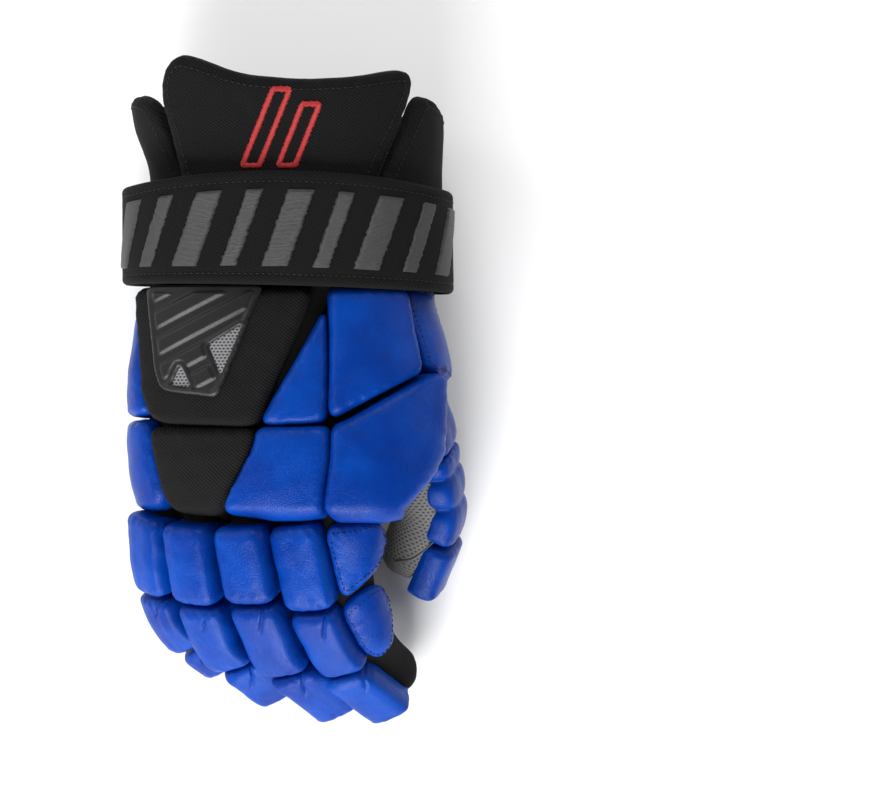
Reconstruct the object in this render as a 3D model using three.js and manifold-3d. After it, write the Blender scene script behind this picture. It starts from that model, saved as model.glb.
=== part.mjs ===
// Ball hockey glove for the right hand, lying palm down with its fingers curled.
// Millimetres, +Z up, +Y towards the cuff and +X towards the thumb.
// A knitted lining carries everything: leather palm below, foam rolls and panels above,
// padded cuff and strap behind.
import * as THREE from "three";
import { mergeVertices } from "three/addons/utils/BufferGeometryUtils.js";
import Module from "manifold-3d";

const wasm = await Module();
wasm.setup();

// Driving dimensions
const LINING = 2.8; // knitted cloth with thin foam
const LEATHER = 1.2; // palm leather
const PATCH = 1.0; // leather sewn on the palm
const GAP = 0.35; // air between pieces that touch
const SINK = 1.5; // depth by which a piece is made too deep before its seat is cut
const PANEL_HIGH = 11; // foam panel above the lining of the hand
const CUFF_THICK = 8;
const FLOOR = 2.6; // height of what the glove lies on
const FLAP_THICK = 4.2;
const STRAP_THICK = 4;
const STRAP_FROM = 50;
const STRAP_TO = 104.5;
const SHAPE = 2.4; // exponent of the rounded cross-sections: 2 is an ellipse

// Cross-sections of the hand, from the knuckles to the end of the cuff: place of the middle, half width,
// height above and depth below the middle, lift of the arch and roll that raises the thumb's side, in degrees.
const HAND = [
  { y: -61, x: -8, z: 60, wide: 57, up: 9, down: 11, bow: 4, roll: 24 },
  { y: -55, x: -8, z: 60, wide: 62, up: 13, down: 15, bow: 5, roll: 24 },
  { y: -30, x: -3, z: 58, wide: 69, up: 20, down: 20, bow: 6, roll: 18 },
  { y: 10, x: -1, z: 56, wide: 69, up: 27, down: 26, bow: 3, roll: 11 },
  { y: 45, x: -2, z: 53, wide: 67, up: 33, down: 33, bow: 1, roll: 5 },
  { y: 62, x: -2, z: 52, wide: 65, up: 36, down: 36, bow: 0, roll: 3 },
  { y: 110, x: -2, z: 53, wide: 66, up: 40, down: 38, bow: 0, roll: 2 },
  { y: 165, x: -3, z: 56, wide: 69, up: 46, down: 42, bow: 0, roll: 2 },
];
// Inside of the strap: its middle, half width, height above and depth below, and how square its lower half is
const STRAP = {
  x: -2.4,
  z: 56,
  wide: 76,
  up: 46.5,
  down: 56 - (FLOOR + FLAP_THICK + GAP + STRAP_THICK),
  shape: 3.6,
};
const LINING_ROWS = [62, 40, 12, -16, -38, -54, -61];

// Middle line of each finger, its half sizes, and the tilt of its back away from upright, in degrees.
const FINGERS = [
  {
    name: "index",
    tilt: 28,
    wide: 11.7,
    high: 12.2,
    line: [[4, -32, 66], [7.5, -56, 69], [16, -95, 60], [29, -121, 40], [50, -138, 17]],
  },
  {
    name: "middle",
    tilt: 31,
    wide: 11.7,
    high: 12.2,
    line: [[-18, -32, 60], [-18.5, -57, 62], [-11.5, -93, 53], [1, -123, 33], [23, -141, 12.5]],
  },
  {
    name: "ring",
    tilt: 38,
    wide: 11.4,
    high: 11.8,
    line: [[-38, -32, 53], [-41.5, -56, 51], [-36.5, -90, 42], [-26, -118, 25], [-5, -134, 11]],
  },
  {
    name: "little",
    tilt: 52,
    wide: 10.4,
    high: 10.8,
    line: [[-51, -32, 42], [-58.5, -54, 38], [-57, -84, 29], [-49, -108, 18], [-30, -123, 10.5]],
  },
];
const THUMB = {
  name: "thumb",
  tilt: -72,
  wide: 13,
  high: 13,
  line: [[36, 35, 50], [58, -18, 50], [66, -58, 31], [54, -88, 14.9]],
};
// The index finger is wider on the thumb's side, by this much at distances along it.
const WEB = [
  { y: 0, wide: 26 },
  { y: 28, wide: 24 },
  { y: 65, wide: 13 },
  { y: 98, wide: 9 },
  { y: 122, wide: 2 },
  { y: 140, wide: 0 },
];
const FINGER_SIDES = 8;
const FINGER_FROM = 14; // a finger's tube starts this far along its line, inside the hand
const THUMB_FROM = 20;
const CORNER = 9; // a finger's line is rounded over this length on each side of a joint

// Half of the cross-section of a finger roll: height above the finger's middle line and distance out from it
const ROLL_SECTION = [
  { up: 24, out: 0 },
  { up: 23, out: 8.6 },
  { up: 18.6, out: 13 },
  { up: 10, out: 12.9 },
  { up: 1.5, out: 11.9 },
];
// Rings along a roll: distance in from its ends and the share of its size that is left there
const ROLL_RINGS = [
  { inset: 0, share: 0.84 },
  { inset: 2.4, share: 0.97 },
];

// Cross-section of a foam panel from its foot to its crown: distance in from the outline, or the share of the
// way in to its middle, and the share of its height
const PANEL_RINGS = [
  { inset: 0, rise: -1 },
  { inset: -0.6, rise: 0.5 },
  { inset: 1.8, rise: 0.9 },
  { share: 0.5, rise: 1.05 },
];
const CUFF_RINGS = [
  { inset: 0, rise: -1 },
  { inset: 0, rise: 0.6 },
  { share: 0.12, rise: 1 },
  { share: 0.55, rise: 1 },
];
const PLATE_RINGS = [
  { inset: 0, rise: -1 },
  { inset: 0.2, rise: 1 },
  { share: 0.5, rise: 1 },
];
const HOLE_RINGS = [
  { inset: 0, rise: -1 },
  { inset: 0, rise: 1 },
];

const radians = (degrees) => (degrees * Math.PI) / 180;
const vector = ([x, y, z]) => new THREE.Vector3(x, y, z);
const power = (value, exponent) => Math.sign(value) * Math.abs(value) ** exponent;

// A value from a table of rows at y, on a smooth curve through the rows
function between(rows, key, y) {
  const last = rows.length - 1;
  const slope = (i) => {
    const a = Math.max(0, i - 1);
    const b = Math.min(last, i + 1);
    return (rows[b][key] - rows[a][key]) / (rows[b].y - rows[a].y);
  };
  let i = 0;
  while (i < last - 1 && y > rows[i + 1].y) i++;
  const span = rows[i + 1].y - rows[i].y;
  const t = THREE.MathUtils.clamp((y - rows[i].y) / span, 0, 1);
  const [t2, t3] = [t * t, t * t * t];
  return (
    rows[i][key] * (2 * t3 - 3 * t2 + 1) +
    slope(i) * span * (t3 - 2 * t2 + t) +
    rows[i + 1][key] * (3 * t2 - 2 * t3) +
    slope(i + 1) * span * (t3 - t2)
  );
}

// A line through points with its corners rounded, by distance along it
function roundedLine(points) {
  const path = new THREE.CurvePath();
  let from = points[0];
  for (let i = 1; i < points.length; i++) {
    const [a, b, c] = [points[i - 1], points[i], points[i + 1]];
    if (!c) {
      path.add(new THREE.LineCurve3(from, b));
      continue;
    }
    const entry = b.clone().add(a.clone().sub(b).setLength(CORNER));
    const exit = b.clone().add(c.clone().sub(b).setLength(CORNER));
    path.add(new THREE.LineCurve3(from, entry));
    path.add(new THREE.QuadraticBezierCurve3(entry, b, exit));
    from = exit;
  }
  return path;
}

// A limb is a surface with a cross-section at each place v along it: the hand, a finger or the thumb.
class Limb {
  // Half of the perimeter's points, used to measure along the cross-section
  static STEPS = 160;

  constructor(frameAt) {
    this.frameAt = frameAt;
    this.cache = new Map();
  }

  // Point of a cross-section at an angle from its top, in the section's own plane
  spot(frame, angle) {
    const [sine, cosine] = [Math.sin(angle), Math.cos(angle)];
    const x = (sine > 0 ? frame.right : frame.left) * power(sine, 2 / SHAPE);
    const z = (cosine > 0 ? frame.up : frame.down) * power(cosine, 2 / SHAPE);
    const widest = Math.max(frame.right, frame.left);
    return new THREE.Vector2(x, z + frame.bow * (1 - (x / widest) ** 2));
  }

  // The cross-section at v as points with their distance from the top, positive towards the thumb
  measured(v) {
    const key = v.toFixed(3);
    if (this.cache.has(key)) return this.cache.get(key);
    const frame = this.frameAt(v, 0);
    const side = (sign) => {
      const row = [{ far: 0, at: this.spot(frame, 0) }];
      for (let k = 1; k <= Limb.STEPS; k++) {
        const at = this.spot(frame, (sign * Math.PI * k) / Limb.STEPS);
        row.push({ far: row[k - 1].far + at.distanceTo(row[k - 1].at), at });
      }
      return row;
    };
    const made = { frame, plus: side(1), minus: side(-1) };
    made.edges = [-made.minus[Limb.STEPS / 2].far, made.plus[Limb.STEPS / 2].far];
    this.cache.set(key, made);
    return made;
  }

  // Point on the surface at s round from the top and v along, raised by lift
  at(s, v, lift) {
    const { frame, plus, minus } = this.measured(v);
    const row = s < 0 ? minus : plus;
    const far = Math.min(Math.abs(s), row[row.length - 1].far - 1e-6);
    let low = 0;
    let high = row.length - 1;
    while (high - low > 1) {
      const middle = (low + high) >> 1;
      if (row[middle].far > far) high = middle;
      else low = middle;
    }
    const t = (far - row[low].far) / (row[high].far - row[low].far);
    const at = row[low].at.clone().lerp(row[high].at, t);
    const wide = 3; // steps on each side that the normal is taken over
    const [before, after] = [row[Math.max(0, low - wide)].at, row[Math.min(row.length - 1, high + wide)].at];
    const along = after.clone().sub(before).normalize().multiplyScalar(s < 0 ? -1 : 1);
    const across = low < wide ? 0 : -along.y;
    const normal = new THREE.Vector2(across, low < wide ? 1 : along.x).normalize();
    at.addScaledVector(normal, lift);
    return frame.middle.clone().addScaledVector(frame.across, at.x).addScaledVector(frame.upward, at.y);
  }

  // How far round from the top a raised surface passes over the plan distance x, on the side of the back
  across(x, v, lift = PANEL_HIGH / 2) {
    let [low, high] = this.measured(v).edges;
    for (let i = 0; i < 30; i++) {
      const middle = (low + high) / 2;
      if (this.at(middle, v, lift).x < x) low = middle;
      else high = middle;
    }
    return low;
  }

  // A ring of points round the limb at v, grown outwards
  ring(v, grow, sides) {
    const frame = this.frameAt(v, grow);
    return Array.from({ length: sides }, (_, k) => {
      const at = this.spot(frame, (2 * Math.PI * k) / sides);
      return frame.middle.clone().addScaledVector(frame.across, at.x).addScaledVector(frame.upward, at.y);
    });
  }
}

// The hand, with v along Y
const hand = new Limb((y, grow) => {
  const value = (key) => between(HAND, key, y);
  const turn = radians(value("roll"));
  return {
    middle: new THREE.Vector3(value("x"), y, value("z")),
    across: new THREE.Vector3(Math.cos(turn), 0, Math.sin(turn)),
    upward: new THREE.Vector3(-Math.sin(turn), 0, Math.cos(turn)),
    left: value("wide") + grow,
    right: value("wide") + grow,
    up: value("up") + grow,
    down: value("down") + grow,
    bow: value("bow"),
  };
});

// A finger or the thumb, with v the distance along its middle line
function fingerLimb(finger) {
  const points = finger.line.map(vector);
  const path = roundedLine(points);
  const length = path.getLength();
  const turn = radians(finger.tilt);
  const back = new THREE.Vector3(-Math.sin(turn), 0, Math.cos(turn));
  const limb = new Limb((v, grow) => {
    const u = THREE.MathUtils.clamp(v / length, 0, 1);
    const along = path.getTangentAt(u);
    const across = back.clone().cross(along).normalize();
    const web = finger.name === "index" ? between(WEB, "wide", v) : 0;
    return {
      middle: path.getPointAt(u),
      across,
      upward: along.clone().cross(across).normalize(),
      left: finger.wide + grow,
      right: finger.wide + web + grow,
      up: finger.high + grow,
      down: finger.high + grow,
      bow: 0,
    };
  });
  limb.length = length;
  // Distance along the line of each of its given points
  limb.joints = points.map((point) => {
    let best = 0;
    for (let k = 0; k <= 400; k++) {
      const u = k / 400;
      if (path.getPointAt(u).distanceTo(point) < path.getPointAt(best).distanceTo(point)) best = u;
    }
    return best * length;
  });
  limb.high = finger.high;
  limb.wide = finger.wide;
  limb.name = finger.name;
  return limb;
}

// Closed geometry from rings of points, with a fan at each end
function loft(rings) {
  const count = rings[0].length;
  const points = rings.flat();
  const faces = [];
  for (let r = 0; r < rings.length - 1; r++)
    for (let k = 0; k < count; k++) {
      const [a, b] = [r * count + k, r * count + ((k + 1) % count)];
      faces.push([a, b, b + count], [a, b + count, a + count]);
    }
  for (const [r, flip] of [[0, true], [rings.length - 1, false]]) {
    const hub = new THREE.Vector3();
    rings[r].forEach((point) => hub.addScaledVector(point, 1 / count));
    points.push(hub);
    for (let k = 0; k < count; k++) {
      const [a, b] = [r * count + k, r * count + ((k + 1) % count)];
      faces.push(flip ? [b, a, points.length - 1] : [a, b, points.length - 1]);
    }
  }
  return closed(points, faces);
}

// Closed geometry from rings that come round to the first again
function loop(rings) {
  const count = rings[0].length;
  const faces = [];
  rings.forEach((_, r) => {
    const next = (r + 1) % rings.length;
    for (let k = 0; k < count; k++) {
      const [a, b] = [k, (k + 1) % count];
      faces.push(
        [r * count + a, r * count + b, next * count + b],
        [r * count + a, next * count + b, next * count + a],
      );
    }
  });
  return closed(rings.flat(), faces);
}

// Solid from points and triangles, turned to face outwards
function closed(points, faces) {
  const signed = faces.reduce((sum, [a, b, c]) => sum + points[a].dot(points[b].clone().cross(points[c])), 0);
  const geometry = new THREE.BufferGeometry().setFromPoints(points);
  geometry.setIndex(faces.flatMap(([a, b, c]) => (signed < 0 ? [a, c, b] : [a, b, c])));
  return solid(geometry);
}

function solid(geometry) {
  const plain = geometry.clone();
  plain.deleteAttribute("normal");
  plain.deleteAttribute("uv");
  const merged = mergeVertices(plain, 1e-4);
  return new wasm.Manifold(
    new wasm.Mesh({
      numProp: 3,
      vertProperties: merged.attributes.position.array,
      triVerts: new Uint32Array(merged.index.array),
    }),
  );
}

// The largest body of a solid, without the scraps that a cut leaves, as geometry
function largest(made) {
  const { vertProperties, triVerts } = made.getMesh();
  const owner = Array.from({ length: vertProperties.length / 3 }, (_, i) => i);
  const root = (i) => {
    while (owner[i] !== i) i = owner[i] = owner[owner[i]];
    return i;
  };
  for (let k = 0; k < triVerts.length; k += 3) {
    owner[root(triVerts[k])] = root(triVerts[k + 1]);
    owner[root(triVerts[k + 1])] = root(triVerts[k + 2]);
  }
  const point = (i) => new THREE.Vector3().fromArray(vertProperties, 3 * i);
  const volumes = new Map();
  for (let k = 0; k < triVerts.length; k += 3) {
    const [a, b, c] = [0, 1, 2].map((i) => point(triVerts[k + i]));
    const body = root(triVerts[k]);
    volumes.set(body, (volumes.get(body) ?? 0) + a.dot(b.cross(c)));
  }
  const best = [...volumes].sort((a, b) => b[1] - a[1])[0][0];
  const faces = [];
  for (let k = 0; k < triVerts.length; k += 3) {
    if (root(triVerts[k]) === best) faces.push(...triVerts.slice(k, k + 3));
  }
  const geometry = new THREE.BufferGeometry();
  const kept = [...new Set(faces)];
  const place = new Map(kept.map((i, k) => [i, k]));
  geometry.setFromPoints(kept.map(point));
  geometry.setIndex(faces.map((i) => place.get(i)));
  geometry.computeVertexNormals();
  return geometry;
}

const joined = (solids) => solids.reduce((sum, one) => sum.add(one));

// The hand as a solid, grown by some millimetres; the cavity runs on past the wrist
function handSolid(grow, past = 0) {
  const rows = LINING_ROWS.map((y, i) => {
    if (i === 0) return y + past;
    return i === LINING_ROWS.length - 1 ? y - grow : y;
  });
  return loft(rows.map((y) => hand.ring(y, grow, grow < 0 ? 12 : 14)));
}

// A finger as a solid with a round tip, grown by some millimetres
function fingerSolid(limb, grow, from = 0) {
  const sides = FINGER_SIDES;
  const blunt = limb.high + grow;
  const reach = limb.length + grow;
  const joints = limb.joints.slice(1, -1);
  const bends = joints.flatMap((v) => (grow < 0 ? [v] : [v - CORNER / 2, v + CORNER / 2]));
  const body = [from, ...bends.filter((v) => v > from + 3 && v < reach - blunt - 1), reach - blunt];
  const rings = body.map((v) => limb.ring(v, grow, sides));
  const end = reach - blunt;
  for (const share of [0.5, 0.87]) {
    const left = Math.sqrt(1 - share ** 2);
    const frame = limb.frameAt(end + share * blunt, grow);
    rings.push(
      Array.from({ length: sides }, (_, k) => {
        const at = limb.spot(frame, (2 * Math.PI * k) / sides).multiplyScalar(left);
        const { middle: centre, across, upward } = limb.frameAt(end, 0);
        centre.addScaledVector(across.clone().cross(upward), share * blunt);
        return centre.addScaledVector(across, at.x).addScaledVector(upward, at.y);
      }),
    );
  }
  return loft(rings);
}

// Everything on the palm side of a finger's middle, a drop below it
function fingerPalmSide(limb, drop) {
  const bends = limb.joints.slice(1, -1).flatMap((v) => [v - CORNER / 2, v + CORNER / 2]);
  const ringAt = (v, past = 0) => {
    const frame = limb.frameAt(v, 4);
    const [upper, lower] = [-drop, -frame.down - 2];
    const ahead = frame.across.clone().cross(frame.upward).multiplyScalar(past);
    const corners = [
      [-frame.left, upper],
      [frame.right, upper],
      [frame.right, lower],
      [-frame.left, lower],
    ];
    return corners.map(([x, z]) =>
      frame.middle.clone().add(ahead).addScaledVector(frame.across, x).addScaledVector(frame.upward, z),
    );
  };
  const places = bends.filter((v) => v > FINGER_FROM);
  const middles = places.map((v) => ringAt(v));
  return loft([ringAt(FINGER_FROM - 6), ...middles, ringAt(limb.length), ringAt(limb.length, 8)]);
}

const fingers = FINGERS.map(fingerLimb);
const thumb = fingerLimb(THUMB);
const [index, middle, ring, little] = fingers;

// Everything that the hand fills, grown by some millimetres
function glove(grow, past = 0) {
  return joined([
    handSolid(grow, past),
    ...fingers.map((limb) => fingerSolid(limb, grow, grow < 0 ? FINGER_FROM - 3 : FINGER_FROM - grow)),
    fingerSolid(thumb, grow, grow < 0 ? THUMB_FROM - 4 : THUMB_FROM - grow),
  ]);
}

function box(low, high) {
  const size = high.map((value, i) => value - low[i]);
  const geometry = new THREE.BoxGeometry(...size);
  geometry.translate(...low.map((value, i) => value + size[i] / 2));
  return solid(geometry);
}

const shell = glove(0).subtract(glove(-LINING, 12));
const seat = glove(GAP);

// The lining is parted where the fingers and the thumb leave the hand. The hand's and the fingers' linings
// are each made of a back and a palm half.
const KNUCKLE_CUT = -62.5;
const THUMB_CUT = { x: 34, y: -38, z: 55 };
const beyond = box([-150, -250, -50], [150, KNUCKLE_CUT - GAP / 2, 150]);
const thumbSide = box([THUMB_CUT.x, -250, -50], [150, THUMB_CUT.y, THUMB_CUT.z]);
const thumbRoom = box([THUMB_CUT.x - GAP, -250, -50], [150, THUMB_CUT.y + GAP, THUMB_CUT.z + GAP]);
const knuckleBox = box([-150, -250, -50], [150, KNUCKLE_CUT + GAP / 2, 150]);
const handLining = shell.subtract(knuckleBox).subtract(thumbRoom);
const handSides = (drop) => handBelow(-150, 150, KNUCKLE_CUT - 10, LINING_ROWS[0] + 10, drop);
const thumbLining = shell.intersect(thumbSide);
const fingerLinings = fingers.map((limb, i) => {
  const own = fingerSolid(limb, 0, FINGER_FROM).subtract(fingerSolid(limb, -LINING, FINGER_FROM - 3));
  const apart = i > 0 ? own.subtract(fingerSolid(fingers[i - 1], GAP, FINGER_FROM)) : own;
  return apart.intersect(beyond).subtract(thumbRoom);
});

// A foam or cloth piece on a limb: an outline in plan of the limb's surface, raised by rings to its crown
function cushion(limb, corners, options = {}) {
  const { high = PANEL_HIGH, base = -SINK, rings = PANEL_RINGS, round = 4, points = 16, grow = 0 } = options;
  const { under = [0.5] } = options;
  const outline = roundedOutline(corners, round, points);
  const hub = outline.reduce((sum, p) => sum.add(p), new THREE.Vector2()).divideScalar(outline.length);
  const ringAt = (ring, lift) =>
    outline.map((p) => {
      const inward = hub.clone().sub(p);
      const share = ring.share ?? Math.min(0.7, (ring.inset - grow) / inward.length());
      const q = p.clone().addScaledVector(inward, share);
      return limb.at(q.x, q.y, lift);
    });
  const over = rings.map((ring) => ringAt(ring, ring.rise < 0 ? base - grow : ring.rise * high + grow));
  return loft([...under.map((share) => ringAt({ share }, base - grow)), ...over]);
}

// The corners of an outline rounded, with its points spread evenly
function roundedOutline(corners, round, count) {
  const path = new THREE.Path();
  const spots = corners.map(([s, v]) => new THREE.Vector2(s, v));
  spots.forEach((corner, i) => {
    const before = spots[(i + spots.length - 1) % spots.length];
    const after = spots[(i + 1) % spots.length];
    const reach = (other) => Math.min(round, corner.distanceTo(other) / 2.2);
    const entry = corner.clone().lerp(before, reach(before) / corner.distanceTo(before));
    const exit = corner.clone().lerp(after, reach(after) / corner.distanceTo(after));
    if (i === 0) path.moveTo(entry.x, entry.y);
    else path.lineTo(entry.x, entry.y);
    path.quadraticCurveTo(corner.x, corner.y, exit.x, exit.y);
  });
  path.closePath();
  return path.getSpacedPoints(count).slice(0, count);
}

// A foam roll that sits over a finger like a saddle, from one place along it to another
function roll(limb, from, to, options = {}) {
  const { wide = 1, skirt = 1.5, lower = 0, grow = 0 } = options;
  const half = ROLL_SECTION.map(({ up, out }) => {
    const raised = Math.max(up, skirt) - lower;
    return { up: raised + (raised > 12 ? grow : -grow), out: out === 0 ? 0 : out * wide + grow };
  });
  const section = [
    ...half,
    ...half.slice(1).reverse().map(({ up, out }) => ({ up, out: -out })),
  ];
  const core = 12; // height of the point that the ends shrink towards
  const places = [
    ...ROLL_RINGS.map(({ inset, share }) => ({ v: from - grow + inset, share })),
    { v: (from + to) / 2, share: 1.02 },
    ...[...ROLL_RINGS].reverse().map(({ inset, share }) => ({ v: to + grow - inset, share })),
  ];
  return loft(
    places.map(({ v, share }) => {
      const frame = limb.frameAt(Math.min(v, limb.length), 0);
      const past = Math.max(0, v - limb.length);
      const along = frame.upward.clone().cross(frame.across).negate();
      return section.map(({ up, out }) =>
        frame.middle
          .clone()
          .addScaledVector(along, past)
          .addScaledVector(frame.across, out * share)
          .addScaledVector(frame.upward, core + (up - core) * share),
      );
    }),
  );
}

const pieces = [];
// A piece joins the glove under its name, cut to fit what it lies on; a skin is cut by nothing else.
function skin(name, made, finish) {
  pieces.push({ name, geometry: largest(made), finish });
}
// A piece with a shape of its own is also cut to clear the pieces laid before it: make(grow) makes it grown.
function lay(name, make, finish, ...cutters) {
  const reach = boundsOf(make(GAP));
  const near = pieces.filter(({ fat, bounds }) => fat && bounds.intersectsBox(reach)).map(({ fat }) => fat);
  const cut = [...cutters, ...near].reduce((rest, cutter) => rest.subtract(cutter), make(0));
  pieces.push({ name, geometry: largest(cut), finish, fat: make(GAP), bounds: reach });
}
const boundsOf = (made) => new THREE.Box3().setFromArray(made.getMesh().vertProperties);

const FINISHES = {
  knit: { color: 0x17171a, roughness: 0.95 },
  blue: { color: 0x0a32b4, roughness: 0.48 },
  cloth: { color: 0x1b1b1c, roughness: 0.9 },
  palm: { color: 0x77777a, roughness: 0.85 },
  patch: { color: 0x6c6c6f, roughness: 0.8 },
  rubber: { color: 0x1c1c1e, roughness: 0.5 },
  mesh: { color: 0xa0a0a4, roughness: 0.45 },
  label: { color: 0x141416, roughness: 0.8 },
};

// Lining
skin("hand_lining_back", handLining.subtract(handSides(-GAP / 2)), "knit");
skin("hand_lining_palm", handLining.intersect(handSides(GAP / 2)), "knit");
fingerLinings.forEach((made, i) => {
  const limb = fingers[i];
  skin(`${limb.name}_lining_back`, made.subtract(fingerPalmSide(limb, -GAP / 2)), "knit");
  skin(`${limb.name}_lining_palm`, made.intersect(fingerPalmSide(limb, GAP / 2)), "knit");
});
skin("thumb_lining", thumbLining, "knit");

// Leather palm: a skin under the hand and on the gripping side of the fingers and the thumb.
const PALM_LEFT = -45;
const PALM_END = 57;
const PALM_DEPTH = 15;
function handBelow(left, right, from, to, drop) {
  const rows = [from, ...LINING_ROWS.filter((y) => y > from + 2 && y < to - 2).reverse(), to];
  return loft(
    rows.map((y) => {
      const frame = hand.frameAt(y, 0);
      const slope = frame.across.z / frame.across.x;
      const level = (x) => frame.middle.z + (x - frame.middle.x) * slope + frame.bow / 2 - drop;
      const edges = [left, right].map((edge) => (typeof edge === "function" ? edge(y) : edge));
      return [
        new THREE.Vector3(edges[0], y, -30),
        new THREE.Vector3(edges[1], y, -30),
        new THREE.Vector3(edges[1], y, level(edges[1])),
        new THREE.Vector3(edges[0], y, level(edges[0])),
      ];
    }),
  );
}
// The gripping side of a finger, as a bar along it
function fingerBelow(limb, from, to, top, wide) {
  const count = 4;
  return loft(
    Array.from({ length: count }, (_, k) => {
      const frame = limb.frameAt(from + ((to - from) * k) / (count - 1), 0);
      return [
        [-wide, top],
        [wide, top],
        [wide * 0.8, -PALM_DEPTH],
        [-wide * 0.8, -PALM_DEPTH],
        ].map(([x, z]) => frame.middle.clone().addScaledVector(frame.across, x).addScaledVector(frame.upward, z));
    }),
  );
}
const palmRegion = joined([
  handBelow(PALM_LEFT, 60, -66, PALM_END, 3),
  ...fingers.map((limb) => fingerBelow(limb, 14, limb.length - 17, -2.5, 15)),
  fingerBelow(thumb, 6, thumb.length - 4, 8, 17),
]);
const leather = glove(GAP + LEATHER, 0).subtract(seat);
const palmBack = box([-150, PALM_END - 0.1, -50], [150, 200, 200]);
skin("palm_leather", leather.intersect(palmRegion).subtract(palmBack), "palm");
const overPalm = palmRegion.intersect(glove(2 * GAP + LEATHER));

// Patches sewn on the palm
const patchSkin = glove(2 * GAP + LEATHER + PATCH).subtract(glove(2 * GAP + LEATHER));
const seam = (y) => 37 - 36 * THREE.MathUtils.smoothstep(y, -70, 50); // the curved seam's x at y
const PATCH_END = PALM_END - 12;
const patchRegion = handBelow(PALM_LEFT + 3, (y) => seam(y) + 10, -50, PATCH_END, 9);
const patchPart = handBelow(PALM_LEFT + 3, (y) => seam(y) - 4, -50, PATCH_END, 9);
const stripPart = handBelow((y) => seam(y) - 3.4, (y) => seam(y) + 10, -42, PATCH_END, 9);
const overPatches = patchRegion.intersect(glove(3 * GAP + LEATHER + PATCH));
skin("palm_patch", patchSkin.intersect(patchPart), "patch");
skin("palm_strip", patchSkin.intersect(stripPart), "patch");

// Finger rolls: the share of the way between two joints that each covers
const ROLL_GAP = 1.1;
fingers.forEach((limb, i) => {
  const [, knuckle, bend, end, tip] = limb.joints;
  const wide = limb.wide / 11.7;
  const spans = [
    [knuckle + 4, bend + 1],
    [bend + 1, end + 1],
    [end + 1, tip + 3],
  ];
  spans.forEach(([from, to], k) => {
    const make = (grow) =>
      roll(limb, from + ROLL_GAP, to - ROLL_GAP, { wide, lower: i === 3 ? 2.5 : 0, grow });
    lay(`${limb.name}_roll_${k + 1}`, make, "blue", seat, overPalm);
  });
});

// Thumb rolls, down the outer side of the thumb
const [, thumbKnuckle, thumbBend, thumbTip] = thumb.joints;
const thumbSpans = [
  [thumbKnuckle - 22, thumbKnuckle + 12],
  [thumbKnuckle + 12, thumbBend + 10],
  [thumbBend + 10, thumbTip + 5],
];
thumbSpans.forEach(([from, to], k) => {
  const make = (grow) => roll(thumb, from + ROLL_GAP, to - ROLL_GAP, { wide: 1.08, lower: 2, grow });
  lay(`thumb_roll_${k + 1}`, make, "blue", seat, overPalm);
});

// Panels on the back and the sides of the hand. A corner is its plan distance x from the glove's middle line,
// its place y and, where the panel goes on round the side, how much further round it is.
const outlineOf = (corners) => corners.map(([x, y, round = 0]) => [hand.across(x, y) + round, y]);
const WRAP = 46; // width of the panels that go round the little finger's side
const PANELS = [
  {
    name: "wrist_guard",
    finish: "cloth",
    high: 12.5,
    corners: [[-71, 49], [-69, 0], [-66, -12], [-60, -15], [-18, -16.5], [-12, 0], [5, 38], [8.5, 49]],
  },
  {
    name: "knuckle_guard",
    finish: "cloth",
    high: 11.5,
    corners: [
      [-66, -18], [-18.5, -18.5], [-19, -25], [-33, -57],
      [-41, -60], [-54, -58], [-59, -52], [-64, -33],
    ],
  },
  { name: "back_panel_point", high: 11, corners: [[15, 38], [15.3, -14.5], [-12, -16], [-14, -13]] },
  {
    name: "back_panel_upper",
    high: 12,
    corners: [[17.5, 49], [52.5, 49], [60, 9], [54, 6], [20, -12], [17.5, -9]],
  },
  {
    name: "back_panel_middle",
    high: 12,
    corners: [
      [-16.5, -18], [16.8, -17.5], [16, -58.5], [9, -61.5],
      [-8, -61.5], [-29, -59], [-31, -55], [-17, -25],
    ],
  },
  {
    name: "back_panel_thumb",
    high: 12,
    corners: [[19, -17], [26, -14.5], [61, 6], [69.5, 9], [72, -30], [66, -42], [50, -62], [19, -62]],
  },
  {
    name: "side_panel_thumb",
    high: 9,
    corners: [[55, 49], [55, 49, 30], [68, 2, 22], [70, 8, 2], [62, 10, 1]],
  },
  {
    name: "side_panel_upper",
    high: 10.5,
    corners: [
      [-73, 47, 1.5], [-70.5, 0, 0], [-68, -10, 0],
      [-71, -12, -4], [-71, -12, -WRAP], [-73, 47, -WRAP],
    ],
  },
  {
    name: "side_panel_lower",
    high: 10.5,
    corners: [
      [-68, -15, 0], [-65, -33, 0], [-60, -52, 0], [-61, -58, -4],
      [-61, -58, -24], [-66, -40, -32], [-68, -15, -40],
    ],
  },
];
PANELS.forEach(({ name, finish = "blue", high, corners }) => {
  const outline = outlineOf(corners);
  lay(name, (grow) => cushion(hand, outline, { high, round: 5, grow }), finish, seat, overPalm, overPatches);
});

// Panels on the index finger's side towards the thumb, in distances round and along the finger
const INDEX_SIDES = [
  { name: "index_side_base", corners: [[15.5, 32], [37, 33], [41, 45], [34, 55], [28, 58.5], [15.5, 64]] },
  { name: "index_side_middle", corners: [[16, 68.5], [25, 64.5], [32, 67.5], [33, 80], [27, 93], [20, 103], [16, 103]] },
];
INDEX_SIDES.forEach(({ name, corners }) => {
  const make = (grow) => cushion(index, corners, { high: 5, round: 5, points: 14, grow });
  lay(name, make, "blue", seat, overPalm);
});

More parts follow.
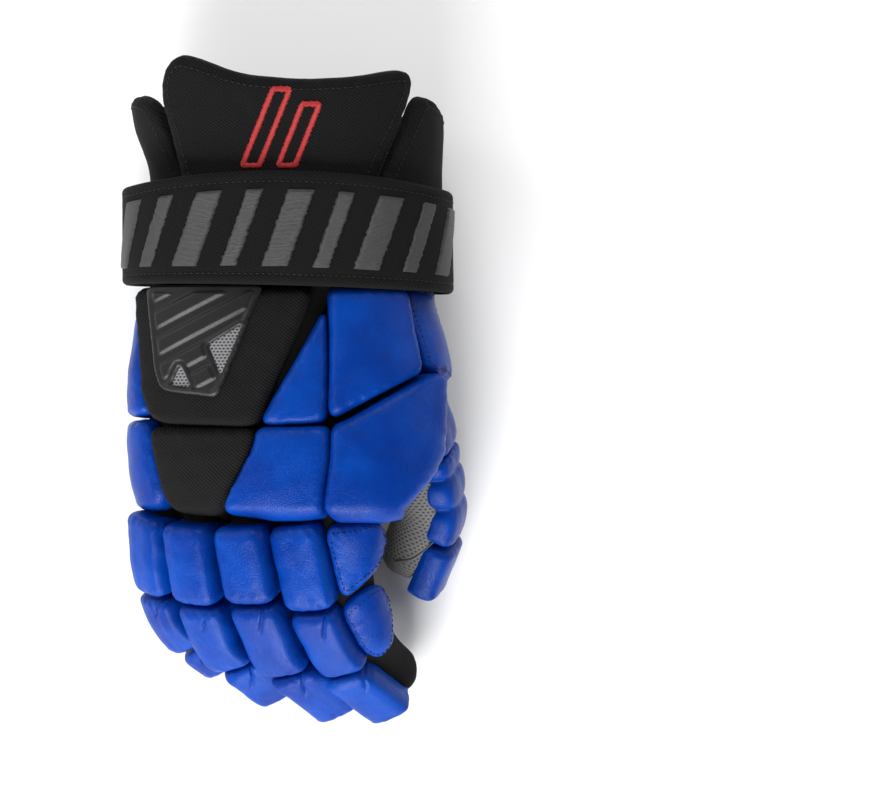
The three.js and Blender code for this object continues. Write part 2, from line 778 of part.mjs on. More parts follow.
// Padded cuff: a back and two side lobes, standing free past the lining
const CUFF = [
  {
    name: "cuff_back",
    corners: [
      [-51.5, 52], [-52.5, 100], [-63, 141], [-62, 152], [-56, 160], [-48, 159], [-25, 150], [4, 147.5],
      [30, 149], [50, 152], [54.5, 148], [46, 139], [37, 100], [36, 52],
    ],
  },
  {
    name: "cuff_side_little",
    corners: [
      [-54, 52], [-55, 100], [-64.5, 137], [-72, 142.5, -4],
      [-76, 138, -30], [-76, 134, -54], [-76, 52, -54],
    ],
  },
  {
    name: "cuff_side_thumb",
    corners: [[38.5, 52], [39.5, 100], [48.5, 139], [58, 141.5], [76, 134, -2], [76, 134, 50], [76, 52, 50]],
  },
];
CUFF.forEach(({ name, corners }) => {
  const outline = outlineOf(corners);
  const size = { high: CUFF_THICK, base: GAP, rings: CUFF_RINGS, under: [0.55], round: 9, points: 24 };
  lay(name, (grow) => cushion(hand, outline, { ...size, grow }), "cloth", seat, overPalm);
});

// Hem: a binding across the end of the palm
const HEM_THICK = 2.2;
const hemSkin = glove(2 * GAP + LEATHER + HEM_THICK).subtract(glove(2 * GAP + LEATHER));
const hemRegion = (grow) =>
  handBelow(-44 - grow, 46 + grow, PALM_END - 11 - grow, PALM_END + 1 + grow, 12 - grow);
const hem = hemSkin.intersect(hemRegion(0));
const fatHem = (grow) => glove(3 * GAP + LEATHER + HEM_THICK).intersect(hemRegion(grow));
lay("palm_hem", (grow) => (grow ? fatHem(grow) : hem), "cloth");

// Strap: one band round the wrist
function strapSpot(angle, lift) {
  const [sine, cosine] = [Math.sin(angle), Math.cos(angle)];
  const exponent = 2 / (cosine > 0 ? SHAPE : STRAP.shape);
  const x = (STRAP.wide + lift) * power(sine, exponent);
  const z = ((cosine > 0 ? STRAP.up : STRAP.down) + lift) * power(cosine, exponent);
  return new THREE.Vector2(STRAP.x + x, STRAP.z + z);
}
function strap(grow) {
  const profile = [
    [-grow, STRAP_FROM - grow],
    [STRAP_THICK - 1.2 + grow, STRAP_FROM - grow],
    [STRAP_THICK + grow, STRAP_FROM + 1.2],
    [STRAP_THICK + grow, STRAP_TO - 1.2],
    [STRAP_THICK - 1.2 + grow, STRAP_TO + grow],
    [-grow, STRAP_TO + grow],
  ];
  const count = 28;
  return loop(
    Array.from({ length: count }, (_, k) =>
      profile.map(([lift, y]) => {
        const spot = strapSpot((2 * Math.PI * (k + 0.5)) / count, lift);
        const side = spot.x / 80;
        const bend = y > (STRAP_FROM + STRAP_TO) / 2 ? 8 * side ** 2 + 1.5 * side : side ** 2 + 2.2 * side;
        return new THREE.Vector3(spot.x, y - bend, spot.y);
      }),
    ),
  );
}
lay("wrist_strap", strap, "cloth", seat, overPalm);

// A flat plate that lies level, from an outline in plan; its edges are rounded by a step
function plate(corners, low, high, grow, round = 6, points = 20, edge = 0.7) {
  const outline = roundedOutline(corners, round, points);
  const hub = outline.reduce((sum, p) => sum.add(p), new THREE.Vector2()).divideScalar(outline.length);
  const ring = (inset, z) =>
    outline.map((p) => {
      const q = p.clone().addScaledVector(hub.clone().sub(p).normalize(), inset - grow);
      return new THREE.Vector3(q.x, q.y, z);
    });
  return loft([ring(edge, low - grow), ring(0, low + edge), ring(0, high + grow)]);
}

// Closure flap under the wrist, with a woven label let into it
const LABEL = { corners: [[-29, 62], [33, 62], [33, 95], [-29, 95]], thick: 1.2 };
const FLAP = [[-46.5, 58], [37, 58], [46.5, 82], [45, 98], [35, 105], [-33, 105], [-43, 97], [-46.5, 82]];
const labelBelow = FLOOR;
const labelPlate = (grow) =>
  plate(LABEL.corners, labelBelow, labelBelow + LABEL.thick, grow, 2.5, 16, 0.2);
lay("label", labelPlate, "label");
lay("closure_flap", (grow) => plate(FLAP, FLOOR, FLOOR + FLAP_THICK, grow), "cloth");

// Keepers: short tapes from the palm's hem over the strap's edge, on its underside
const KEEPERS = [
  { name: "strap_keeper_little", x: -51, inside: 9.5 },
  { name: "strap_keeper_thumb", x: 45, inside: 12 },
];
const KEEPER_WIDE = 14;
const KEEPER_THICK = 1.5;
function keeper({ x, inside }, grow) {
  const side = x / 80;
  const edge = STRAP_FROM - side ** 2 - 2.2 * side;
  const over = STRAP_THICK + GAP;
  const rows = [
    { y: edge - 8 - grow, low: -inside, high: 4 - inside },
    { y: edge - 1.4 - grow, low: over - 3, high: over + KEEPER_THICK },
    { y: edge + 2, low: over, high: over + KEEPER_THICK },
    { y: edge + 22 + grow, low: over, high: over + KEEPER_THICK },
  ];
  const angleOf = (at) => Math.PI - Math.sign(at) * Math.asin(Math.abs(at / STRAP.wide) ** (STRAP.shape / 2));
  const reach = KEEPER_WIDE / 2 + grow;
  const angles = [-reach, 0, reach].map((step) => angleOf(x - STRAP.x + step));
  return loft(
    rows.map(({ y, low, high }) =>
      [...angles.map((angle) => [angle, low - grow]), ...angles.map((angle) => [angle, high + grow]).reverse()]
        .map(([angle, lift]) => strapSpot(angle, lift))
        .map((spot) => new THREE.Vector3(spot.x, y, spot.y)),
    ),
  );
}
KEEPERS.forEach((one) => lay(one.name, (grow) => keeper(one, grow), "cloth", seat, overPalm, overPatches));

// Rubber badge on the wrist guard, with silver mesh in its window
const WINDOW = [[-39.5, 22], [-20.5, 33.5], [-32.5, 7]];
const SLOT = [[-58, 2.6], [-48.5, 1.6], [-53.5, 12.5]];
const BADGE = [[-69, 48.5], [-66, 11], [-63.5, 2], [-60, -0.3], [-36, -3.2], [-14.5, 48.5]];
const MESH_PLATE = [[-62, 20], [-60, 1.2], [-35, -0.8], [-17.5, 33], [-21.5, 38]];
const badgeOf = (corners, high, base, round, points, grow) =>
  cushion(hand, outlineOf(corners), { high, base, rings: PLATE_RINGS, round, points, grow });
lay("badge_mesh", (grow) => badgeOf(MESH_PLATE, 14.4, 8, 3, 10, grow), "mesh");
const hole = { high: 20, base: 5, rings: HOLE_RINGS, points: 6, round: 1 };
const windowOf = (corners) => cushion(hand, outlineOf(corners), hole);
const windows = [WINDOW, SLOT].map(windowOf);
lay("badge_frame", (grow) => badgeOf(BADGE, 16, 8, 4, 14, grow), "rubber", ...windows);

const group = new THREE.Group();
for (const { name, geometry, finish } of pieces) {
  const { color, roughness } = FINISHES[finish];
  const mesh = new THREE.Mesh(
    geometry,
    new THREE.MeshStandardMaterial({ color, roughness, metalness: 0 }),
  );
  mesh.name = name;
  group.add(mesh);
}
// The origin is under the middle of the glove's bounding box.
const extent = new THREE.Box3().setFromObject(group, true);
const centre = extent.getCenter(new THREE.Vector3());
group.position.set(-centre.x, -centre.y, -extent.min.z);
export default group;
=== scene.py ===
"""Ball hockey glove for the right hand, with its padding, leather, cloth and stitches, and the studio.

Sizes are in millimetres in the frame that the glove was drawn in; SHIFT moves them onto the part's own origin.
"""

from __future__ import annotations

import logging
import math
from collections.abc import Callable, Sequence
from dataclasses import dataclass, field
from enum import Enum

import bpy
import numpy as np
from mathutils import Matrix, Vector
from mathutils.geometry import delaunay_2d_cdt

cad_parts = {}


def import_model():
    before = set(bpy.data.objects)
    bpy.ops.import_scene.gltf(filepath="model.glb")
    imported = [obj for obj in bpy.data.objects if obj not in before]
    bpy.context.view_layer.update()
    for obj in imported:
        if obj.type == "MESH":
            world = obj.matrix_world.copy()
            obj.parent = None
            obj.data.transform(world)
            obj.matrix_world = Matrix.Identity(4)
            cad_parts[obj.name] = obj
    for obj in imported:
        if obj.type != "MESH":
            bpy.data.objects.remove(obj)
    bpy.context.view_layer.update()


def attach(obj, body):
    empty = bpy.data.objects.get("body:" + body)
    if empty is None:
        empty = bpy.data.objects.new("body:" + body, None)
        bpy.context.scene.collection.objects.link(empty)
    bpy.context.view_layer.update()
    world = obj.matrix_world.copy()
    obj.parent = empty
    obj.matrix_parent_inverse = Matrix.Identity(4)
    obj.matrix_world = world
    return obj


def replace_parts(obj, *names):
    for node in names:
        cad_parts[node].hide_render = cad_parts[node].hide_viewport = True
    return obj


log = logging.getLogger("glove")
Array = np.ndarray
Corners = Sequence[tuple[float, float]]

MM = 0.001
SHIFT = np.array([-2.2263, 1.1731, -2.6])
SHAPE = 2.4  # exponent of the rounded cross-sections
STEPS = 160  # steps that half of a cross-section is measured in
HALVINGS = 26  # times that a search halves its span
WAVES = 7  # number of waves in a ripple
CORNER = 9.0  # a finger's line is rounded over this length on each side of a joint
GAP = 0.35  # space between two layers
LEATHER = 1.2  # thickness of the palm's leather
FLOOR = 2.6  # height of what the glove lies on, as it was drawn
SEED = 7
UNDERSIDE = (0.42, 1.58)  # half turns from the top between which a limb's underside lies

# Cross-sections of the hand by place y: middle, half width, height and depth, lift of the arch and roll
HAND = {
    "y": (-61, -55, -30, 10, 45, 62, 110, 165),
    "x": (-8, -8, -3, -1, -2, -2, -2, -3),
    "z": (60, 60, 58, 56, 53, 52, 53, 56),
    "wide": (57, 62, 69, 69, 67, 65, 66, 69),
    "up": (9, 13, 20, 27, 33, 36, 40, 46),
    "down": (11, 15, 20, 26, 33, 36, 38, 42),
    "bow": (4, 5, 6, 3, 1, 0, 0, 0),
    "roll": (24, 24, 18, 11, 5, 3, 2, 2),
}
# Extra width of the index finger towards the thumb, by distance along it
WEB = {"y": (0, 28, 65, 98, 122, 140), "wide": (26, 24, 13, 9, 2, 0)}


class Slot(Enum):
    """Material slots of the part's record."""

    BLUE = "blue_shell"
    CLOTH = "black_cloth"
    KNIT = "knit_lining"
    PALM = "palm_leather"
    PATCH = "palm_patch"
    RUBBER = "badge_rubber"
    MESH = "silver_mesh"
    LABEL = "woven_label"


def power(value: Array, exponent: float | Array) -> Array:
    """Power of a value's size that keeps its sign."""
    return np.sign(value) * np.abs(value) ** exponent


def through(table: dict[str, tuple], column: str, y: Array) -> Array:
    """Read a table's column on a smooth curve through its rows.

    Args:
        table: Columns by name, with the rows' places under "y".
        column: Column to read.
        y: Places to read it at.

    Returns:
        The value at each place.
    """
    at, value = np.array(table["y"], float), np.array(table[column], float)
    y = np.clip(y, at[0], at[-1])
    slope = np.gradient(value)
    slope[1:-1] = (value[2:] - value[:-2]) / (at[2:] - at[:-2])
    slope[0] = (value[1] - value[0]) / (at[1] - at[0])
    slope[-1] = (value[-1] - value[-2]) / (at[-1] - at[-2])
    i = np.clip(np.searchsorted(at, y) - 1, 0, len(at) - 2)
    span = at[i + 1] - at[i]
    t = (y - at[i]) / span
    rest = slope[i] * span * (t**3 - 2 * t**2 + t) + slope[i + 1] * span * (t**3 - t**2)
    return value[i] * (2 * t**3 - 3 * t**2 + 1) + value[i + 1] * (3 * t**2 - 2 * t**3) + rest


def unit(vectors: Array) -> Array:
    """Vectors scaled to length 1."""
    return vectors / np.maximum(np.linalg.norm(vectors, axis=-1, keepdims=True), 1e-9)


def ripple(points: Array, scale: float, seed: int) -> Array:
    """Smooth random waves.

    Args:
        points: Places in mm, one row each.
        scale: Length of the waves.
        seed: Seed of the waves' directions.

    Returns:
        A height from about -1 to 1 at each place.
    """
    rng = np.random.default_rng(seed)
    total = np.zeros(len(points))
    for _ in range(WAVES):
        direction = unit(rng.normal(size=points.shape[1])) * 2 * math.pi / (scale * rng.uniform(0.7, 1.5))
        total += np.sin(points @ direction + rng.uniform(0, 6.3))
    return total / (WAVES / 2)


def lengths(path: Array) -> Array:
    """How far along a path each of its points is."""
    return np.concatenate([[0], np.cumsum(np.linalg.norm(np.diff(path, axis=0), axis=1))])


def between(at: Array, far: Array, path: Array) -> Array:
    """Points at distances along a path whose own points are far along."""
    return np.column_stack([np.interp(at, far, path[:, k]) for k in range(path.shape[1])])


def spread(path: Array, count: int) -> Array:
    """Points spaced evenly along a path, its last one left out."""
    far = lengths(path)
    return between(np.linspace(0, far[-1], count, endpoint=False), far, path)


def turns(count: int) -> Array:
    """Angles spaced evenly round a full turn."""
    return np.linspace(0, 2 * math.pi, count, endpoint=False)


def pairs(first: Array, second: Array) -> Array:
    """Two arrays, broadcast together, as the two places of points on a flat map."""
    return np.stack(np.broadcast_arrays(first, second), axis=-1)


def downwards(count: int) -> Array:
    """Normals that point straight down."""
    return np.tile([0.0, 0.0, -1.0], (count, 1))


def bisect(low: Array, high: Array, holds: Callable[[Array], Array]) -> Array:
    """The value in each span up to which a test holds."""
    for _ in range(HALVINGS):
        middle = (low + high) / 2
        held = holds(middle)
        low, high = np.where(held, middle, low), np.where(held, high, middle)
    return low


def smoothstep(value: Array, low: float, high: float) -> Array:
    """0 below low and 1 above high, smooth between."""
    t = np.clip((value - low) / (high - low), 0, 1)
    return t * t * (3 - 2 * t)


def rounding(far: Array, reach: float, exponent: float) -> Array:
    """Share of its full height that a rounded edge has at distances in from it."""
    return (1 - np.clip(1 - far / reach, 0, 1) ** exponent) ** (1 / exponent)


def swell(line: Array, grow: float) -> Array:
    """A closed outline moved outwards."""
    along = unit(np.roll(line, -1, axis=0) - np.roll(line, 1, axis=0))
    area = (line[:, 0] * np.roll(line[:, 1], -1) - np.roll(line[:, 0], -1) * line[:, 1]).sum()
    return line + np.column_stack([along[:, 1], -along[:, 0]]) * grow * (1 if area > 0 else -1)


def rounded(corners: Array, radius: float, count: int) -> Array:
    """An outline with its corners rounded.

    Args:
        corners: Corners in order.
        radius: Length that a corner takes of each side.
        count: Number of points to return.

    Returns:
        Points spread evenly round the outline.
    """
    parts = []
    t = np.linspace(0, 1, 11)[:, None]
    for i, corner in enumerate(corners):
        ends = []
        for other in (corners[i - 1], corners[(i + 1) % len(corners)]):
            reach = np.linalg.norm(other - corner)
            ends.append(corner + (other - corner) / reach * min(radius, reach / 2.2))
        parts.append((1 - t) ** 2 * ends[0] + 2 * t * (1 - t) * corner + t**2 * ends[1])
    return spread(np.vstack([*parts, parts[0][:1]]), count)


def inside(points: Array, outline: Array) -> Array:
    """Whether each point is inside a closed outline."""
    a, b = outline, np.roll(outline, -1, axis=0)
    x, y = points[:, :1], points[:, 1:]
    crosses = (a[:, 1] > y) != (b[:, 1] > y)
    rise = np.where(b[:, 1] == a[:, 1], 1e-9, b[:, 1] - a[:, 1])
    return (crosses & (x < a[:, 0] + (b[:, 0] - a[:, 0]) * (y - a[:, 1]) / rise)).sum(1) % 2 == 1


def distance(points: Array, outline: Array) -> Array:
    """Distance from each point to a closed outline."""
    a, b = outline, np.roll(outline, -1, axis=0)
    side = b - a
    rel = points[:, None] - a
    t = np.clip((rel * side).sum(2) / np.maximum((side**2).sum(1), 1e-9), 0, 1)
    return np.linalg.norm(rel - t[..., None] * side, axis=2).min(1)


@dataclass(frozen=True)
class Section:
    """Cross-sections of a limb at several places along it."""

    middle: Array
    across: Array
    upward: Array
    left: Array
    right: Array
    up: Array
    down: Array
    bow: Array

    def place(self, x: Array, z: Array) -> Array:
        """Points in space from places in the sections' planes."""
        return self.middle + self.across * x[..., None] + self.upward * z[..., None]


class Limb:
    """A surface with a rounded cross-section at each place v along it."""

    def section(self, v: Array, grow: float | Array = 0.0) -> Section:
        """Cross-sections at v, grown outwards."""
        raise NotImplementedError

    @staticmethod
    def spot(section: Section, angle: Array) -> tuple[Array, Array]:
        """Places in the sections' planes at angles from the top, one row of angles to a section."""
        sine, cosine = np.sin(angle), np.cos(angle)
        column = (slice(None), None)
        x = np.where(sine > 0, section.right[column], section.left[column]) * power(sine, 2 / SHAPE)
        z = np.where(cosine > 0, section.up[column], section.down[column]) * power(cosine, 2 / SHAPE)
        widest = np.maximum(section.right, section.left)[column]
        return x, z + section.bow[column] * (1 - (x / widest) ** 2)

    def at(self, s: Array, v: Array, lift: float | Array = 0.0) -> tuple[Array, Array]:
        """Points on the surface.

        Args:
            s: Distance round from the top, positive towards the thumb.
            v: Place along the limb.
            lift: Height above the surface.

        Returns:
            The points and the surface's normals there.
        """
        s, v, lift = np.broadcast_arrays(np.asarray(s, float), np.asarray(v, float), np.asarray(lift, float))
        section = self.section(v)
        side = np.where(s < 0, -1.0, 1.0)
        x, z = self.spot(section, side[:, None] * np.linspace(0, math.pi, STEPS + 1))
        moves = [np.diff(line, axis=1, prepend=line[:, :1]) for line in (x, z)]
        far = np.cumsum(np.hypot(*moves), axis=1)
        reach = np.minimum(np.abs(s), far[:, -1] - 1e-6)
        low = np.clip((far <= reach[:, None]).sum(1) - 1, 0, STEPS - 1)
        n = np.arange(len(s))
        t = (reach - far[n, low]) / (far[n, low + 1] - far[n, low])
        spot = [line[n, low] * (1 - t) + line[n, low + 1] * t for line in (x, z)]
        before, after = np.maximum(low - 3, 0), np.minimum(low + 4, STEPS)
        along = unit(np.column_stack([x[n, after] - x[n, before], z[n, after] - z[n, before]])) * side[:, None]
        ease = np.clip((low + t) / 4, 0, 1)
        normal = unit(np.column_stack([-along[:, 1] * ease, along[:, 0]]))
        points = section.place(spot[0] + normal[:, 0] * lift, spot[1] + normal[:, 1] * lift)
        return points, section.across * normal[:, :1] + section.upward * normal[:, 1:]

    def across(self, x: Array, v: Array, lift: float = 5.5) -> Array:
        """How far round from the top a raised surface passes over the plan distance x."""
        x, v = np.broadcast_arrays(np.asarray(x, float), np.asarray(v, float))
        low, high = np.empty(len(x)), np.empty(len(x))
        section = self.section(v)
        for edge, sign in ((low, -1), (high, 1)):
            half = self.spot(section, sign * np.tile(np.linspace(0, math.pi / 2, 81), (len(x), 1)))
            edge[:] = sign * np.hypot(np.diff(half[0], axis=1), np.diff(half[1], axis=1)).sum(1)
        return bisect(low, high, lambda s: self.at(s, v, lift)[0][:, 0] < x)

    def turn(self, v: Array, angle: Array, grow: float | Array = 0.0) -> Array:
        """Points of the grown surface at places along it and angles from its top, one angle to a place."""
        section = self.section(np.asarray(v, float), grow)
        x, z = self.spot(section, np.asarray(angle, float)[:, None])
        return section.place(x[:, 0], z[:, 0])

    def below(self, x: Array, v: Array, grow: float | Array = 0.0) -> Array:
        """Points of the grown surface's underside over plan distances x."""
        x, v = np.broadcast_arrays(np.asarray(x, float), np.asarray(v, float))
        ends = (np.full(len(x), share * math.pi) for share in UNDERSIDE)
        return self.turn(v, bisect(*ends, lambda angle: self.turn(v, angle, grow)[:, 0] > x), grow)


class Hand(Limb):
    """The hand, with v along Y."""

    def section(self, v: Array, grow: float | Array = 0.0) -> Section:
        """Cross-sections of the hand from its table."""
        value = {column: through(HAND, column, v) for column in HAND if column != "y"}
        roll, none = np.radians(value["roll"]), np.zeros(len(v))
        return Section(
            middle=np.column_stack([value["x"], v, value["z"]]),
            across=np.column_stack([np.cos(roll), none, np.sin(roll)]),
            upward=np.column_stack([-np.sin(roll), none, np.cos(roll)]),
            left=value["wide"] + grow,
            right=value["wide"] + grow,
            up=value["up"] + grow,
            down=value["down"] + grow,
            bow=value["bow"],
        )


@dataclass
class Finger(Limb):
    """A finger or the thumb, with v the distance along its middle line."""

    name: str
    tilt: float
    wide: float
    high: float
    line: Sequence[tuple[float, float, float]]
    web: bool = False
    more: float = 0.0  # how much further than its line its lining reaches
    lower: float = 0.0  # how much lower than usual its rolls sit
    late: float = 0.0  # how much later than usual its second and third roll start
    past: float = 3.0  # how much further than its line its last roll reaches
    right: tuple[float, float, float] = (1.0, 1.0, 1.0)  # scale of each roll's side towards the thumb
    aside: tuple[float, float, float] = (0.0, 0.0, 0.0)  # how far each roll is moved towards the thumb
    far: Array = field(init=False)
    path: Array = field(init=False)
    tangent: Array = field(init=False)
    joints: Array = field(init=False)

    def __post_init__(self) -> None:
        """Round the corners of the line and measure it."""
        points = np.array(self.line, float)
        parts, start = [], points[0]
        t = np.linspace(0, 1, 60)[:, None]
        for a, b, c in zip(points, points[1:], points[2:]):
            entry, leave = b + unit(a - b) * CORNER, b + unit(c - b) * CORNER
            bend = (1 - t) ** 2 * entry + 2 * t * (1 - t) * b + t**2 * leave
            parts += [start + (entry - start) * t[:-1], bend]
            start = leave
        parts.append(start + (points[-1] - start) * t)
        path = np.vstack(parts)
        keep = np.concatenate([[True], np.linalg.norm(np.diff(path, axis=0), axis=1) > 1e-6])
        self.path = path[keep]
        self.far = lengths(self.path)
        self.tangent = unit(np.gradient(self.path, self.far, axis=0))
        self.joints = np.array([self.far[np.linalg.norm(self.path - p, axis=1).argmin()] for p in points])

    @property
    def length(self) -> float:
        """Length of the middle line."""
        return float(self.far[-1])

    def section(self, v: Array, grow: float | Array = 0.0) -> Section:
        """Cross-sections along the line; past its end they go straight on."""
        v = np.asarray(v, float)
        middle = between(v, self.far, self.path)
        along = unit(between(v, self.far, self.tangent))
        middle = middle + along * np.maximum(v - self.length, 0)[:, None]
        turn = math.radians(self.tilt)
        across = unit(np.cross([-math.sin(turn), 0, math.cos(turn)], along))
        web = through(WEB, "wide", v) if self.web else 0.0
        flat = np.zeros(len(v))
        return Section(
            middle=middle,
            across=across,
            upward=np.cross(along, across),
            left=self.wide + flat + grow,
            right=self.wide + web + flat + grow,
            up=self.high + flat + grow,
            down=self.high + flat + grow,
            bow=flat,
        )

    def over_tip(self, ring: Array, end: float, share: float, deep: float | Array) -> Array:
        """A ring at the end of the straight part, moved over the round tip by a share of its depth."""
        tip = self.section(np.array([end]))
        ahead = np.cross(tip.across, tip.upward)[0]
        return tip.middle + (ring - tip.middle) * math.sqrt(1 - share**2) + ahead * share * deep


HAND_LIMB = Hand()
INDEX = Finger(
    "index", 28, 11.7, 12.2, [(4, -32, 66), (7.5, -56, 69), (16, -95, 60), (29, -121, 40), (50, -138, 17)],
    web=True, more=10.0, past=6.0, right=(0.95, 0.82, 0.7), aside=(0.0, 0.0, -4.5),
)
FINGERS = (
    INDEX,
    Finger(
        "middle", 31, 11.7, 12.2,
        [(-18, -32, 60), (-18.5, -57, 62), (-11.5, -93, 53), (1, -123, 33), (23, -141, 12.5)],
    ),
    Finger(
        "ring", 38, 11.4, 11.8,
        [(-38, -32, 53), (-41.5, -56, 51), (-36.5, -90, 42), (-26, -118, 25), (-5, -134, 11)],
        late=3.5,
    ),
    Finger(
        "little", 52, 10.4, 10.8,
        [(-51, -32, 42), (-58.5, -54, 38), (-57, -84, 29), (-49, -108, 18), (-30, -123, 10.5)],
        lower=2.5, late=7.0,
    ),
)
THUMB = Finger("thumb", -72, 13, 13, [(36, 35, 50), (58, -18, 50), (66, -58, 31), (54, -88, 14.9)])


@dataclass
class Shape:
    """A mesh being built: points in mm, faces and a flat map of the surface in mm."""

    points: list[Array] = field(default_factory=list)
    flat: list[Array] = field(default_factory=list)
    faces: list[tuple[int, ...]] = field(default_factory=list)
    count: int = 0
    least: float = FLOOR + 0.05  # height below which nothing reaches, where it is pressed flat on the floor

    def add(self, points: Array, flat: Array, faces: Sequence[Sequence[int]]) -> Shape:
        """Add points with their places on the flat map, and faces between them."""
        self.points.append(np.asarray(points, float).reshape(-1, 3))
        self.flat.append(np.asarray(flat, float).reshape(-1, 2))
        self.faces += [tuple(i + self.count for i in face) for face in faces]
        self.count += len(self.points[-1])
        return self

    def grid(self, points: Array, flat: Array, wrap: bool = False, caps: bool = False) -> Shape:
        """Add a grid of points.

        Args:
            points: Rows of points, as an array of rows, columns and 3.
            flat: Their places on the flat map.
            wrap: Whether the last column joins the first.
            caps: Whether the first and the last row are closed by fans.

        Returns:
            The shape itself.
        """
        rows, columns = points.shape[:2]
        number = np.arange(rows * columns).reshape(rows, columns)
        beside = np.roll(number, -1, axis=1)
        corners = np.stack([number[:-1], beside[:-1], beside[1:], number[1:]], axis=-1)
        first = self.count
        self.add(points, flat, corners[:, : columns if wrap else -1].reshape(-1, 4).tolist())
        if caps:
            for r, turned in ((0, True), (rows - 1, False)):
                hub = self.count
                self.add(points[r].mean(0), flat[r].mean(0), [])
                pairs = zip((first + number[r]).tolist(), (first + beside[r]).tolist())
                self.faces += [(b, a, hub) if turned else (a, b, hub) for a, b in pairs]
        return self

    def build(self, name: str, looks: Looks, slot: Slot, finish: str | None = None) -> bpy.types.Object:
        """Make the object, smooth and dressed.

        Args:
            name: Name of the piece.
            looks: Materials by name.
            slot: Slot of the record that it belongs to.
            finish: Material, where it isn't the slot's own.

        Returns:
            The object, riding on the part's body.
        """
        mesh = bpy.data.meshes.new(name)
        points = np.vstack(self.points)
        points[:, 2] = np.maximum(points[:, 2], self.least)
        points = (points + SHIFT) * MM
        mesh.from_pydata(points.tolist(), [], self.faces)
        layer = mesh.uv_layers.new(name="flat")
        flat = np.vstack(self.flat)
        corners = np.empty(len(mesh.loops), np.int32)
        mesh.loops.foreach_get("vertex_index", corners)
        layer.data.foreach_set("uv", flat[corners].astype(np.float32).ravel())
        mesh.polygons.foreach_set("use_smooth", [True] * len(mesh.polygons))
        mesh.materials.append(looks[finish or slot.value])
        mesh.update()
        piece = bpy.data.objects.new(name, mesh)
        bpy.context.scene.collection.objects.link(piece)
        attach(piece, "root")
        return piece


WALL = 0.42  # share of a pad's height that its outline already has
DOME_REACH = 18.0  # distance from the outline at which a pad's dome is full
INSETS = (0.0, 0.35, 0.8, 1.5, 2.4, 3.6, 5.2, 7.2)  # distances of a pad's rings from its outline


@dataclass(frozen=True)
class Pillow:
    """A padded piece on a limb: a block of foam under a sewn cover."""

    limb: Limb
    outline: Array
    high: float
    edge: float = 6.0  # distance from the outline within which the cover falls
    shape: float = 2.3  # exponent of that fall: larger is squarer
    base: float = -0.8
    dome: float = 0.7
    fuss: float = 1.0  # share of the usual wrinkles
    taper: tuple[float, float, float] = (1.0, 0.0, 1.0)  # share of the height at a y, and the y where it is full
    seed: int = SEED

    def lift(self, spots: Array) -> Array:
        """Height of the cover above the limb at places on it."""
        d = distance(spots, self.outline)
        dome = self.dome * (1 - np.clip(1 - d / DOME_REACH, 0, 1) ** 2)
        rise = self.high * (WALL + (1 - WALL) * rounding(d, self.edge, self.shape)) + dome
        least, thin, full = self.taper
        rise = rise * (least + (1 - least) * smoothstep(spots[:, 1], thin, full))
        near = np.exp(-((d - 2.0) ** 2) / 8)
        folds = 0.2 * ripple(spots, 14, self.seed) + 0.34 * near * ripple(spots, 5.0, self.seed + 1)
        return rise + self.fuss * folds

    def on(self, spots: Array, extra: float | Array = 0.0) -> tuple[Array, Array]:
        """Points and normals on the cover at places on the limb, raised by extra."""
        return self.limb.at(spots[:, 0], spots[:, 1], self.lift(spots) + extra)

    def shape_of(self) -> Shape:
        """The cover, from its foot up the wall and in to the middle."""
        hub = self.outline.mean(0)
        inward = hub - self.outline
        reach = np.linalg.norm(inward, axis=1, keepdims=True)
        shares = [np.minimum(0.62 * (k + 1) / len(INSETS), inset / reach) for k, inset in enumerate(INSETS)]
        shares += [shares[-1] + (1 - shares[-1]) * t for t in np.linspace(0, 1, 13)[1:-1]]
        rings, flats = [], []
        wall = self.lift(self.outline)
        for share, bulge in ((0.5, 0.0), (0.0, 0.15), (0.0, 0.55), (0.0, 0.85)):
            height = self.base if share else self.base + (wall - self.base) * bulge
            out = 0.0 if share else 0.45 * math.sin(math.pi * bulge)
            spots = self.outline + inward * share - inward / reach * out
            rings.append(self.limb.at(spots[:, 0], spots[:, 1], height)[0])
            flats.append(spots)
        for share in shares:
            spots = self.outline + inward * share
            rings.append(self.on(spots)[0])
            flats.append(spots)
        return Shape().grid(np.array(rings), np.array(flats), wrap=True, caps=True)


# Rings along a stitch: place along it, radius and rise, as shares of its length and its thickness
STITCH = ((-0.5, 0.35, -0.3), (-0.3, 0.95, 0.25), (0.3, 0.95, 0.25), (0.5, 0.35, -0.3))


@dataclass
class Threads:
    """Stitches: short raised threads laid in rows over a surface."""

    long: float = 2.3
    pitch: float = 3.3
    thick: float = 0.34
    sides: int = 6
    shape: Shape = field(default_factory=Shape)

    def row(self, points: Array, normals: Array, closed: bool = False) -> Threads:
        """Lay a row of stitches along a path over a surface.

        Args:
            points: The path.
            normals: The surface's normals along it.
            closed: Whether the path comes round to its start.

        Returns:
            The threads themselves.
        """
        if closed:
            points, normals = np.vstack([points, points[:1]]), np.vstack([normals, normals[:1]])
        far = lengths(points)
        count = max(1, int(far[-1] // self.pitch))
        turn = turns(self.sides)
        for k in range(count):
            rings = []
            for t, size, rise in STITCH:
                at = (k + 0.5) * far[-1] / count + t * self.long
                middle, up, ahead = (
                    np.array([np.interp(place, far, row[:, j]) for j in range(3)])
                    for place, row in ((at, points), (at, normals), (at + 0.4, points))
                )
                side = unit(np.cross(ahead - middle, up))
                up = unit(np.cross(side, ahead - middle))
                spokes = np.outer(np.cos(turn), side) + np.outer(np.sin(turn), up)
                rings.append(middle + up * rise * self.thick + spokes * self.thick * size)
            flat = np.zeros((len(rings), self.sides, 2)) + [k, 0]
            self.shape.grid(np.array(rings), flat, wrap=True, caps=True)
        return self


